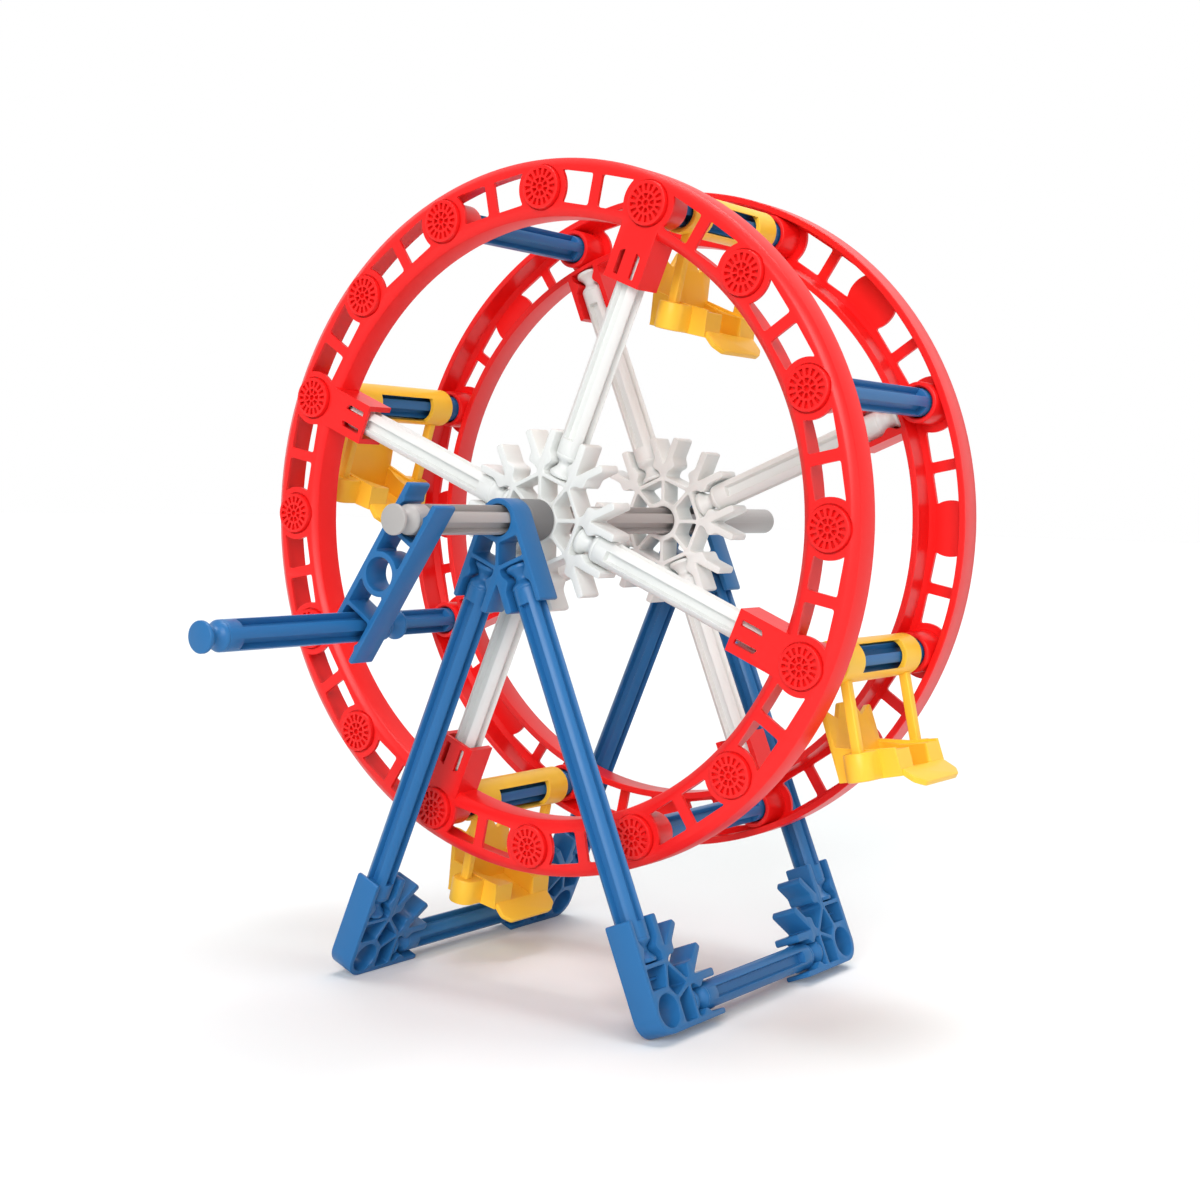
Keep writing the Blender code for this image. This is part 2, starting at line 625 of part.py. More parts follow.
def seat_mesh(name, cutters):
    """One hanging seat: sleeve, posts, lugs, tub, crown back and footrest."""
    sleeve_r = HOLE_R + SLEEVE_WALL
    lean = math.tan(SEAT_BACK_LEAN)
    hinge_z = SEAT_FLOOR_Z + SEAT_WALL / 2
    side = [
        (SEAT_BACK_X, SEAT_FLOOR_Z),
        (SEAT_FRONT_X, SEAT_FLOOR_Z),
        (SEAT_FRONT_TOP_X, SEAT_SIDE_FRONT_Z),
        (POST_X, SEAT_SIDE_MIDDLE_Z),
        (SEAT_BACK_X + SEAT_WALL / 2 - lean * (SEAT_SIDE_BACK_Z - hinge_z), SEAT_SIDE_BACK_Z),
        (SEAT_BACK_X, hinge_z),
    ]
    to_side = Matrix.Rotation(math.pi / 2, 4, "X")
    tub = moved(extruded("tub", [side], 2 * SEAT_HALF_W), to_side)
    well_outline = [
        (2 * SEAT_BACK_X, -(SEAT_HALF_W - SEAT_WALL)),
        (SEAT_BACK_X + SEAT_WALL, -(SEAT_HALF_W - SEAT_WALL)),
        (SEAT_FRONT_X + SEAT_WALL, -WELL_FRONT_HALF),
        (SEAT_FRONT_X + SEAT_WALL, WELL_FRONT_HALF),
        (SEAT_BACK_X + SEAT_WALL, SEAT_HALF_W - SEAT_WALL),
        (2 * SEAT_BACK_X, SEAT_HALF_W - SEAT_WALL),
    ]
    well_depth = SEAT_SIDE_BACK_Z - SEAT_FLOOR_Z
    well = moved(
        extruded("well", [well_outline], well_depth),
        Matrix.Translation((0, 0, SEAT_FLOOR_Z + SEAT_WALL + well_depth / 2)))
    fall = (SEAT_SIDE_BACK_Z - SEAT_SIDE_MIDDLE_Z) / (POST_X - SEAT_BACK_X)
    ledge = [
        (2 * SEAT_BACK_X, SEAT_SIDE_BACK_Z - LEDGE_DROP - fall * SEAT_BACK_X),
        (POST_X, SEAT_SIDE_MIDDLE_Z - LEDGE_DROP),
        (SEAT_FRONT_X, SEAT_SIDE_FRONT_Z - LEDGE_DROP),
        (SEAT_FRONT_X, 0.0),
        (2 * SEAT_BACK_X, 0.0),
    ]
    over_ledge = moved(extruded("over_ledge", [ledge], 2 * (SEAT_HALF_W - SIDE_WALL)), to_side)
    seat = combined("seat_tub", tub, [well, over_ledge], "DIFFERENCE", cutters)

    half_crown = [
        (SEAT_HALF_W, SEAT_FLOOR_Z + SEAT_WALL / 4),
        (SEAT_HALF_W, CROWN_CORNER_Z - CROWN_CORNER_W / 2),
        (SEAT_HALF_W - CROWN_CORNER_W / 2, CROWN_CORNER_Z),
        (SEAT_HALF_W - CROWN_CORNER_W, CROWN_CORNER_Z),
        (CROWN_NOTCH_Y, CROWN_NOTCH_Z),
        (CROWN_MIDDLE_Y, CROWN_MIDDLE_Z),
    ]
    crown = half_crown + [(-y, z) for y, z in reversed(half_crown)]
    to_back = Matrix(((0, 0, 1, 0), (1, 0, 0, 0), (0, 1, 0, 0), (0, 0, 0, 1)))
    leaning = Matrix.Translation((SEAT_BACK_X + SEAT_WALL / 2 + lean * hinge_z, 0, 0))
    leaning[0][2] = -lean
    back = moved(extruded("back", [crown], SEAT_WALL), leaning @ to_back)

    run = math.hypot(FOOTREST_DROP, FOOTREST_REACH)
    half_rest = [
        (-SEAT_WALL / 2, FOOTREST_HALF_W),
        (run - FOOTREST_CHAMFER_L, FOOTREST_HALF_W),
        (run, FOOTREST_HALF_W - FOOTREST_CHAMFER_W),
    ]
    rest = half_rest + [(x, -y) for x, y in reversed(half_rest)]
    slope = math.atan2(FOOTREST_DROP, FOOTREST_REACH)
    footrest = moved(
        extruded("footrest", [rest], FOOTREST_T),
        Matrix.Translation((SEAT_FRONT_X, 0, SEAT_FLOOR_Z + FOOTREST_T / 2))
        @ Matrix.Rotation(slope, 4, "Y"))

    lugs = []
    posts = []
    for y in (-POST_Y, POST_Y):
        out = math.copysign(1.0, y)
        outline = [(POST_X + LUG_R, out * (SEAT_HALF_W - SEAT_WALL / 2))]
        outline += [(POST_X + x, y + out * z) for x, z in arc(LUG_R, 0.0, math.pi, 4)]
        outline.append((POST_X - LUG_R, out * (SEAT_HALF_W - SEAT_WALL / 2)))
        lugs.append(moved(
            extruded("lug", [outline], LUG_TOP_Z - SEAT_FLOOR_Z),
            Matrix.Translation((0, 0, (LUG_TOP_Z + SEAT_FLOOR_Z) / 2))))
        post = cylinder("post", POST_R, LUG_TOP_Z - SEAT_WALL, -(HOLE_R + SLEEVE_WALL / 2), 8)
        posts.append(moved(post, Matrix.Translation((POST_X, y, 0))))
    sleeve = lengthwise(cylinder("sleeve", sleeve_r, -SLEEVE_HALF_L, SLEEVE_HALF_L, HOLE_STEPS))
    seat = combined(
        "seat_joined", seat,
        [back, footrest, merged("lugs", lugs), merged("posts", posts), sleeve], "UNION", cutters)

    bore = lengthwise(cylinder(
        "bore", HOLE_R, -SLEEVE_HALF_L - SLEEVE_WALL, SLEEVE_HALF_L + SLEEVE_WALL, HOLE_STEPS))
    bar = HOLE_R * math.cos(math.pi / 6)
    opening = box(
        "opening", (-2 * sleeve_r, -SLEEVE_WINDOW_HALF, -bar),
        (2 * sleeve_r, SLEEVE_WINDOW_HALF, bar))
    return combined(name, seat, [bore, opening], "DIFFERENCE", cutters)


# Placing


def frame_matrix(origin, x_axis, y_axis, z_axis):
    """A placement from an origin and three world directions."""
    columns = [Vector(x_axis), Vector(y_axis), Vector(z_axis)]
    rotation = Matrix(columns).transposed().to_4x4()
    return Matrix.Translation(origin) @ rotation


def along(origin, direction, side):
    """A rod's placement: local Z along a direction, one ridge toward side."""
    z_axis = Vector(direction).normalized()
    x_axis = Vector(side).normalized()
    return frame_matrix(origin, x_axis, z_axis.cross(x_axis), z_axis)


def wheel_direction(index):
    """Unit direction from the axle to a disc, clockwise seen from the crank."""
    angle = WHEEL_TURN + index * 2 * math.pi / DISC_COUNT
    return Vector((math.sin(angle), 0.0, math.cos(angle)))


def build_stand(parts):
    """Two A-frames, four feet and two base rods."""
    apex = fan_connector("apex", 2)
    foot = fan_connector("foot", 3)
    leg = rod("leg", LONG_ROD, rod_end())
    base = rod("base_rod", SHORT_ROD, rod_end())
    y_axis = Vector((0, 1, 0))
    for depth, sign_y in NEAR_FAR.items():
        y = sign_y * STAND_PITCH / 2
        top = Vector((0, y, AXLE_HEIGHT))
        first = Vector((-math.sin(LEG_SPREAD), 0, -math.cos(LEG_SPREAD)))
        second = Vector((math.cos(LEG_SPREAD), 0, -math.sin(LEG_SPREAD)))
        place("apex_" + depth, apex, BLUE, frame_matrix(top, first, second, first.cross(second)), parts)
        for hand, sign_x in LEFT_RIGHT.items():
            down = Vector((sign_x * math.sin(LEG_SPREAD), 0, -math.cos(LEG_SPREAD)))
            place(f"leg_{depth}_{hand}", leg, BLUE, along(top + down * ROD_END_AT, down, y_axis), parts)
            corner = top + down * LEG_PITCH
            inward = -sign_y * y_axis
            if inward.cross(-down).x * sign_x > 0:
                matrix = frame_matrix(corner, inward, -down, inward.cross(-down))
            else:
                matrix = frame_matrix(corner, -down, inward, (-down).cross(inward))
            place(f"foot_{depth}_{hand}", foot, BLUE, matrix, parts)
            if depth == "near":
                start = corner + inward * ROD_END_AT
                place(f"base_rod_{hand}", base, BLUE, along(start, inward, down), parts)


def build_crank(parts):
    """Axle, spacer, crank bar and handle."""
    bar_down = Vector((-math.sin(CRANK_LEAN), 0, -math.cos(CRANK_LEAN)))
    across = Vector((0, 1, 0)).cross(bar_down)
    ridge = (bar_down + across).normalized()
    axis = Vector((0, 0, AXLE_HEIGHT))
    y_axis = Vector((0, 1, 0))
    place(
        "axle", rod("axle", AXLE_ROD, rod_end()), GREY,
        along(axis - y_axis * AXLE_NEAR_END, y_axis, ridge), parts)
    handle_axis = axis + bar_down * 2 * CLIP_AT
    place(
        "crank_handle", rod("crank_handle", SHORT_ROD, rod_end()), BLUE,
        along(handle_axis - y_axis * HANDLE_NEAR_END, y_axis, ridge), parts)
    bar_middle = axis + bar_down * CLIP_AT - y_axis * (CRANK_BAR_FACE - PLATE_T / 2)
    place(
        "crank_bar", straight_connector("crank_bar"), BLUE,
        frame_matrix(bar_middle, bar_down, y_axis.cross(bar_down), y_axis), parts)
    start = PLATE_T / 2 + FIT - STAND_PITCH / 2
    end = WHEEL_Y - RING_MID_Y - PLATE_T / 2 - FIT
    spacer = extruded(
        "spacer",
        [
            arc(HOLE_R + SPACER_WALL, 0.0, 2 * math.pi, HOLE_STEPS)[:-1],
            arc(HOLE_R, 0.0, 2 * math.pi, HOLE_STEPS)[:-1],
        ],
        end - start)
    place(
        "spacer", spacer, DARK_GREY,
        along((0, (start + end) / 2, AXLE_HEIGHT), y_axis, (1, 0, 0)), parts)


def build_wheel(parts, cutters):
    """Hubs, spokes, rings and cross rods."""
    ring = ring_mesh("ring", cutters)
    hub = star_connector("hub")
    spoke = rod("spoke", SHORT_ROD, rod_end())
    cross_rod = rod("cross_rod", SHORT_ROD, journal_end())
    y_axis = Vector((0, 1, 0))
    for depth, sign_y in NEAR_FAR.items():
        out = sign_y * y_axis
        first = 0 if depth == "near" else 2
        middle = Vector((0, WHEEL_Y + sign_y * RING_MID_Y, AXLE_HEIGHT))
        toward = wheel_direction(first)
        place(
            "ring_" + depth, ring, RED,
            frame_matrix((0, WHEEL_Y, AXLE_HEIGHT), toward, out.cross(toward), out), parts)
        place("hub_" + depth, hub, WHITE, frame_matrix(middle, toward, out.cross(toward), out), parts)
        for count in range(4):
            direction = wheel_direction(first + 4 * count)
            place(
                f"spoke_{depth}_{count + 1}", spoke, WHITE,
                along(middle + direction * ROD_END_AT, direction, y_axis), parts)
    for count in range(DISC_COUNT // 2):
        direction = wheel_direction(2 * count)
        start = Vector((0, WHEEL_Y - SHORT_ROD / 2, AXLE_HEIGHT)) + direction * RING_MID_R
        place(f"cross_rod_{count + 1}", cross_rod, BLUE, along(start, y_axis, (1, 0, 0)), parts)


def build_seats(parts, cutters):
    """Four seats, each hanging from its own cross rod."""
    seat = seat_mesh("seat", cutters)
    for count, swing in enumerate(SEAT_SWING):
        pivot = Vector((0, WHEEL_Y, AXLE_HEIGHT)) + wheel_direction(4 * count) * RING_MID_R
        matrix = Matrix.Translation(pivot) @ Matrix.Rotation(-swing, 4, "Y")
        place(f"seat_{count + 1}", seat, YELLOW, matrix, parts)


def rest_on_origin(parts):
    """Bring the bottom centre of the object's box to the origin."""
    bpy.context.view_layer.update()
    points = [obj.matrix_world @ vert.co for obj in parts.objects for vert in obj.data.vertices]
    low = Vector([min(point[i] for point in points) for i in range(3)])
    high = Vector([max(point[i] for point in points) for i in range(3)])
    shift = Vector((-(low.x + high.x) / 2, -(low.y + high.y) / 2, -low.z))
    for obj in parts.objects:
        obj.location += shift


def main():
    """Build every sub-part."""
    clear_scene()
    parts = new_collection("building_block_ferris_wheel")
    cutters = new_collection("cutters")
    cutters.hide_render = True
    build_stand(parts)
    build_crank(parts)
    build_wheel(parts, cutters)
    build_seats(parts, cutters)
    rest_on_origin(parts)


main()
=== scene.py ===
"""Looks of the building block ferris wheel: moulded plastic rods, connectors, rings and seats."""
import json
import math

import bpy
from mathutils import Matrix, Vector


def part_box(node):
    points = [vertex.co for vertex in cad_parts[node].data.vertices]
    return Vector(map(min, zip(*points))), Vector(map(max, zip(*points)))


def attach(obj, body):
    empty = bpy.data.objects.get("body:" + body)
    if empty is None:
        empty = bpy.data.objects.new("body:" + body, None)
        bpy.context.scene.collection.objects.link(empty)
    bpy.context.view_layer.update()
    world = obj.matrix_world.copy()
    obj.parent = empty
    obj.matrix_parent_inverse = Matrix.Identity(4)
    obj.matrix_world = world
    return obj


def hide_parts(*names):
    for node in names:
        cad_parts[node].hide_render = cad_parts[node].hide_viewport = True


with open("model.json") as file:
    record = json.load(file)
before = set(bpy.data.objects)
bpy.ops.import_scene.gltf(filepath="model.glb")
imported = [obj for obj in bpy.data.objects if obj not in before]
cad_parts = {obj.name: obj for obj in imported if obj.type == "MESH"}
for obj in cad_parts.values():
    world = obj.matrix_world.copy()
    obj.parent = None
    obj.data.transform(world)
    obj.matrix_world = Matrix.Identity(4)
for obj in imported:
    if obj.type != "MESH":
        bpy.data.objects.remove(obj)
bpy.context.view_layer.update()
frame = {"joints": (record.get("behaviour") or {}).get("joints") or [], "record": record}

# Places taken from the frame
BODY_OF = {
    node: body for body, nodes in frame["record"]["behaviour"]["bodies"].items() for node in nodes}
PIVOTS = {joint["child"]: Vector(joint["pos_m"]) for joint in frame["joints"]}
WHEEL_MIDDLE = PIVOTS["wheel"]
STAND_Y = (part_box("apex_near")[0].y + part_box("apex_far")[1].y) / 2
STAND_MIDDLE = Vector((WHEEL_MIDDLE.x, STAND_Y, WHEEL_MIDDLE.z))

# Rods, in metres
GAP = 0.0003
ROD_R = 0.0031
HEAD_R = 0.0031
HEAD_T = 0.0009
NECK_R = 0.0018
NECK_AT = 0.0028
SHOULDER_END = 0.0049
COLLAR_END = 0.0085
SHORT_ROD = 0.0546
AXLE_ROD = 0.1487
AXLE_FAR_CUT = 0.0038
AXLE_PLAIN_END = 0.0300
JOURNAL_END = 0.0084
ROD_SIDES = 40
GROOVE_MOUTH_HALF = 0.00126
GROOVE_FLOOR_HALF = 0.00092
GROOVE_R = 0.0015

# Connectors
PLATE_T = 0.0062
RIM_WALL = 0.0012
ROD_END_AT = 0.0102
BACK_WALL = 0.0009
REACH = 0.0193
FINGER_WALL = 0.0017
RIB = 0.0009
SOCKET_STEP = math.radians(45)
SOFT_EDGE = 0.0002
CORNER_REACH = 0.0006
CROSS_RIB_T = 0.0004
CROSS_RIB_DROP = 0.0022

# Stand and crank
LEG_SPREAD = math.radians(22.5)
AXLE_OUT = 0.0361
CRANK_BAR_OUT = 0.0315
CRANK_LEAN = math.radians(34)
HANDLE_OUT = 0.0174
CLIP_LIP_HALF = 0.0028
CLIP_LIP_RUN = 0.0008
SPACER_WALL = 0.0011

# Wheel
WHEEL_TURN = math.radians(22.5)
DISC_COUNT = 16
RING_HALF_W = 0.00615
SPOKE_LET_IN = 0.0002
CROSS_ROD_GAP = 0.0005
RING_RIM_T = 0.0062
RING_WALL = 0.0015
RING_PLATE_T = 0.0008
RING_CHAMFER_W = 0.0015
RING_CHAMFER_T = 0.0011
RING_SIDES = 192
RING_EDGE = 0.00018
DISC_R = 0.0046
DISC_RAISE = 0.0009
SLOT_DEPTH = 0.0008
POCKET_DEPTH = 0.0012
CREVICE_W = 0.00034
CREVICE_DEPTH = 0.00058
WEB_R = 0.0062
WINDOW_HALF_W = 0.0034
MID_WEB = 0.0024
BOSS_WALL = 0.0011
BOSS_PROUD = 0.0010
TAB_WALL = 0.0012
TAB_REACH = 0.0108
TAB_SLOT_L = 0.0056
TAB_SLOT_W = 0.0012
TAB_SLOT_AT = 0.00205
TAB_SLOT_END = 0.0012

# Seats
SLEEVE_WALL = 0.0011
SLEEVE_HALF_L = 0.0170
SLEEVE_WINDOW_HALF = 0.0095
POST_HALF = 0.0010
POST_Y = 0.0135
POST_X = 0.0013
LUG_R = 0.0031
SEAT_HALF_W = 0.0104
SEAT_WALL = 0.0012
SEAT_BACK_X = -0.0057
SEAT_BACK_LEAN = math.radians(7)
SEAT_FRONT_X = 0.0087
SEAT_FRONT_TOP_X = 0.0080
SEAT_FLOOR_Z = -0.0245
SEAT_SIDE_BACK_Z = -0.0170
SEAT_SIDE_MIDDLE_Z = -0.0183
SEAT_SIDE_FRONT_Z = -0.0187
SIDE_WALL = 0.0009
LEDGE_DROP = 0.0007
LUG_TOP_Z = -0.0186
WELL_FRONT_HALF = 0.0039
WELL_FLARE = 0.0005
CROWN_CORNER_Z = -0.0096
CROWN_NOTCH_Z = -0.0115
CROWN_MIDDLE_Z = -0.0082
CROWN_NOTCH_Y = 0.0054
CROWN_MIDDLE_Y = 0.0028
CROWN_CORNER_W = 0.0012
FOOTREST_DROP = 0.0029
FOOTREST_REACH = 0.0036
FOOTREST_HALF_W = 0.0098
FOOTREST_CHAMFER_W = 0.0024
FOOTREST_CHAMFER_L = 0.0018
FOOTREST_T = 0.0012
SEAT_EDGE = 0.00018
SEAT_SWING = [math.radians(angle) for angle in (-13.0, 12.3, -11.5, -17.5)]

# Derived
HOLE_R = ROD_R + GAP
RIM_R = HOLE_R + RIM_WALL
SOCKET_HALF = ROD_R + GAP
FLANGE_OUT = SOCKET_HALF + RIM_WALL
BACK_FACE = ROD_END_AT - GAP
BACK_INNER = BACK_FACE - BACK_WALL
STAND_PITCH = SHORT_ROD + 2 * ROD_END_AT
LEG_PITCH = math.sqrt(2) * STAND_PITCH
LONG_ROD = LEG_PITCH - 2 * ROD_END_AT
AXLE_NEAR_END = STAND_PITCH / 2 + AXLE_OUT
CRANK_BAR_FACE = STAND_PITCH / 2 + CRANK_BAR_OUT
HANDLE_NEAR_END = STAND_PITCH / 2 + HANDLE_OUT + SHORT_ROD
CLIP_AT = BACK_FACE + GAP + ROD_R
LIP_AT = CLIP_AT + math.sqrt((ROD_R + 2 * GAP) ** 2 - CLIP_LIP_HALF ** 2)
SPOKE_OUT_R = ROD_END_AT + SHORT_ROD
RING_IN_R = SPOKE_OUT_R - SPOKE_LET_IN
RING_MID_R = RING_IN_R + RING_HALF_W
RING_OUT_R = RING_MID_R + RING_HALF_W
RING_FLOOR_Y = SHORT_ROD / 2 + CROSS_ROD_GAP
RING_FACE_Y = RING_FLOOR_Y + RING_PLATE_T
RING_RIM_Y = RING_FACE_Y - RING_CHAMFER_T
RING_MID_Y = RING_RIM_Y - RING_RIM_T / 2
RING_OPEN_Y = RING_MID_Y - RING_RIM_T / 2
DISC_STEP = 2 * math.pi / DISC_COUNT
NEAR_FAR = {"near": -1, "far": 1}
LEFT_RIGHT = {"left": -1, "right": 1}
Y_AXIS = Vector((0, 1, 0))


# Modelling


def hold(piece):
    """Select one piece alone, in object mode."""
    if bpy.context.mode != "OBJECT":
        bpy.ops.object.mode_set(mode="OBJECT")
    bpy.ops.object.select_all(action="DESELECT")
    if piece:
        piece.select_set(True)
        bpy.context.view_layer.objects.active = piece


def settled(name):
    """Name the piece just added and put its place into its mesh."""
    piece = bpy.context.active_object
    piece.name = name
    piece.data.name = name
    bpy.ops.object.transform_apply(location=True, rotation=True, scale=True)
    return piece


def block(name, low, high):
    """Add a cube sized between two corners."""
    hold(None)
    middle = [(a + b) / 2 for a, b in zip(low, high)]
    size = [b - a for a, b in zip(low, high)]
    bpy.ops.mesh.primitive_cube_add(size=1, location=middle, scale=size)
    return settled(name)


def drum(name, radius, low, high, sides=32, centre=(0, 0)):
    """Add a cylinder standing between two heights."""
    hold(None)
    bpy.ops.mesh.primitive_cylinder_add(
        vertices=sides, radius=radius, depth=high - low, location=(*centre, (low + high) / 2))
    return settled(name)


def choose(piece, wanted):
    """Select the vertices that pass a test, in edit mode."""
    hold(piece)
    bpy.ops.object.mode_set(mode="EDIT")
    bpy.ops.mesh.select_all(action="DESELECT")
    bpy.ops.object.mode_set(mode="OBJECT")
    for vert in piece.data.vertices:
        vert.select = wanted(vert.co)
    bpy.ops.object.mode_set(mode="EDIT")


def plain(piece):
    """Drop the edges that a cut left lying in flat faces."""
    hold(piece)
    bpy.ops.object.mode_set(mode="EDIT")
    bpy.ops.mesh.select_all(action="SELECT")
    bpy.ops.mesh.remove_doubles(threshold=2e-6)
    bpy.ops.mesh.dissolve_limited(angle_limit=math.radians(0.3))
    bpy.ops.object.mode_set(mode="OBJECT")
    return piece


def soften(piece, width, segments=2, angle=40):
    """Round a piece's sharp edges."""
    hold(piece)
    bevel = piece.modifiers.new("soft_edges", "BEVEL")
    bevel.width = width
    bevel.segments = segments
    bevel.limit_method = "ANGLE"
    bevel.angle_limit = math.radians(angle)
    bevel.loop_slide = False
    bpy.ops.object.modifier_apply(modifier=bevel.name)
    return piece


def with_tool(piece, tool, operation):
    """Join a tool to a piece, or cut it away, and throw the tool away."""
    hold(piece)
    boolean = piece.modifiers.new("tool", "BOOLEAN")
    boolean.operation = operation
    boolean.solver = "EXACT"
    boolean.object = tool
    bpy.ops.object.modifier_apply(modifier=boolean.name)
    bpy.data.objects.remove(tool)
    return piece


def gathered(name, pieces):
    """Put separate pieces in one object."""
    hold(pieces[0])
    for piece in pieces[1:]:
        piece.select_set(True)
    bpy.ops.object.join()
    pieces[0].name = name
    return pieces[0]


def shifted(piece, matrix):
    """Move a piece's points."""
    hold(piece)
    piece.data.transform(matrix)
    return piece


def twin(piece, name, matrix):
    """Copy a piece, mesh and all, to another place."""
    copy = bpy.data.objects.new(name, piece.data.copy())
    bpy.context.scene.collection.objects.link(copy)
    return shifted(copy, matrix)


def round_ring(piece, indices):
    """Copy a piece to chosen disc places round a ring and gather the copies."""
    copies = [
        twin(piece, piece.name, Matrix.Rotation(i * DISC_STEP, 4, "Z")) for i in indices]
    bpy.data.objects.remove(piece)
    return gathered("ring_of_pieces", copies)


def tidied(piece, smooth_angle=34):
    """Merge doubles, turn faces outward and shade round parts smooth."""
    hold(piece)
    bpy.ops.object.mode_set(mode="EDIT")
    bpy.ops.mesh.select_all(action="SELECT")
    bpy.ops.mesh.remove_doubles(threshold=1e-6)
    bpy.ops.mesh.normals_make_consistent(inside=False)
    bpy.ops.object.mode_set(mode="OBJECT")
    bpy.ops.object.shade_smooth_by_angle(angle=math.radians(smooth_angle))
    return piece


def drawn_out(name, steps, sides, closed=False):
    """Extrude a circle through (radius, height) steps, closed on itself or with flat ends."""
    hold(None)
    fill = "NOTHING" if closed else "NGON"
    bpy.ops.mesh.primitive_circle_add(
        vertices=sides, radius=steps[0][0], fill_type=fill, location=(0, 0, steps[0][1]))
    piece = settled(name)
    bpy.ops.object.mode_set(mode="EDIT")
    bpy.ops.mesh.select_all(action="SELECT")
    following = steps[1:] + steps[:1] if closed else steps[1:]
    for (r0, z0), (r1, z1) in zip(steps, following):
        bpy.ops.mesh.extrude_region_move(TRANSFORM_OT_translate={"value": (0, 0, z1 - z0)})
        bpy.ops.transform.resize(value=(r1 / r0, r1 / r0, 1), center_override=(0, 0, 0))
    bpy.ops.object.mode_set(mode="OBJECT")
    return tidied(piece)


def polar(angle, out, side):
    """A point given along and across a direction in a flat outline's plane."""
    c = math.cos(angle)
    s = math.sin(angle)
    return (out * c - side * s, out * s + side * c)


def arc(radius, start, end, steps, centre=(0.0, 0.0)):
    """Points on an arc, both ends included."""
    turns = [start + (end - start) * i / steps for i in range(steps + 1)]
    return [(centre[0] + radius * math.cos(a), centre[1] + radius * math.sin(a)) for a in turns]


def circle(radius, steps=48):
    """Points on a full circle."""
    return arc(radius, 0.0, 2 * math.pi, steps)[:-1]


def eased(points, reach=CORNER_REACH, steps=3):
    """Round each corner of a closed outline, from a given reach either side of it."""
    smooth = []
    for i, corner in enumerate(points):
        here = Vector(corner)
        before = Vector(points[i - 1]) - here
        after = Vector(points[(i + 1) % len(points)]) - here
        start = here + before.normalized() * min(reach, 0.45 * before.length)
        end = here + after.normalized() * min(reach, 0.45 * after.length)
        for k in range(steps + 1):
            t = k / steps
            smooth.append(tuple(start * (1 - t) ** 2 + here * 2 * t * (1 - t) + end * t ** 2))
    return smooth


def plate(name, loops, thickness, edge=0.0):
    """Fill flat outlines, holes included, and thicken them, with rounded edges."""
    curve = bpy.data.curves.new(name, "CURVE")
    curve.dimensions = "2D"
    curve.fill_mode = "BOTH"
    curve.extrude = thickness / 2 - edge
    curve.bevel_depth = edge
    curve.bevel_resolution = 1
    curve.offset = -edge
    for loop in loops:
        spline = curve.splines.new("POLY")
        spline.points.add(len(loop) - 1)
        for point, (x, y) in zip(spline.points, loop):
            point.co = (x, y, 0, 1)
        spline.use_cyclic_u = True
    piece = bpy.data.objects.new(name, curve)
    bpy.context.scene.collection.objects.link(piece)
    hold(piece)
    bpy.ops.object.convert(target="MESH")
    return tidied(bpy.context.active_object)


# Rods


def rod_end():
    """Snap-in end, with head, waist and round shoulder: radius and distance from the rod's end."""
    steps = [
        (HEAD_R - 0.00025, 0.0),
        (HEAD_R - 0.00007, 0.00007),
        (HEAD_R, 0.00022),
        (HEAD_R, HEAD_T - 0.00012),
        (HEAD_R - 0.00012, HEAD_T),
    ]
    for along, share in ((0.28, 0.54), (0.56, 0.22), (0.82, 0.04)):
        steps.append((NECK_R + share * (HEAD_R - NECK_R), HEAD_T + along * (NECK_AT - HEAD_T)))
    for along, share in ((0.02, 0.0), (0.18, 0.06), (0.35, 0.27), (0.52, 0.57), (0.68, 0.83), (0.85, 0.97)):
        steps.append((NECK_R + share * (ROD_R - NECK_R), NECK_AT + along * (SHOULDER_END - NECK_AT)))
    return steps + [
        (ROD_R, SHOULDER_END),
        (ROD_R - 0.00010, SHOULDER_END + 0.00020),
        (ROD_R, SHOULDER_END + 0.00038),
        (ROD_R, COLLAR_END),
    ]


def journal_end():
    """Plain end of a cross rod."""
    return [(ROD_R - 0.0002, 0.0), (ROD_R, 0.0002), (ROD_R, JOURNAL_END)]


def cut_end():
    """Plain far end of the axle."""
    return [(ROD_R - 0.0003, 0.0), (ROD_R - 0.0001, 0.0001), (ROD_R, 0.0003), (ROD_R, AXLE_PLAIN_END)]


def rod(name, length, near, far):
    """A round blank with shaped ends, and four straight grooves cut between the collars."""
    blank = drawn_out(name, near + [(r, length - z) for r, z in reversed(far)], ROD_SIDES)
    start = near[-1][1]
    end = length - far[-1][1]
    outline = [
        (GROOVE_R, -GROOVE_FLOOR_HALF),
        (ROD_R * 0.93, -GROOVE_MOUTH_HALF),
        (1.5 * ROD_R, -1.5 * GROOVE_MOUTH_HALF),
        (1.5 * ROD_R, 1.5 * GROOVE_MOUTH_HALF),
        (ROD_R * 0.93, GROOVE_MOUTH_HALF),
        (GROOVE_R, GROOVE_FLOOR_HALF),
    ]
    flutes = [
        shifted(plate("flute", [outline], end - start), (
            Matrix.Translation((0, 0, (start + end) / 2))
            @ Matrix.Rotation(math.radians(45 + 90 * i), 4, "Z")))
        for i in range(4)]
    body = with_tool(blank, gathered("flutes", flutes), "DIFFERENCE")
    return tidied(soften(plain(body), 0.00006, 2, 28), 30)


# Connectors


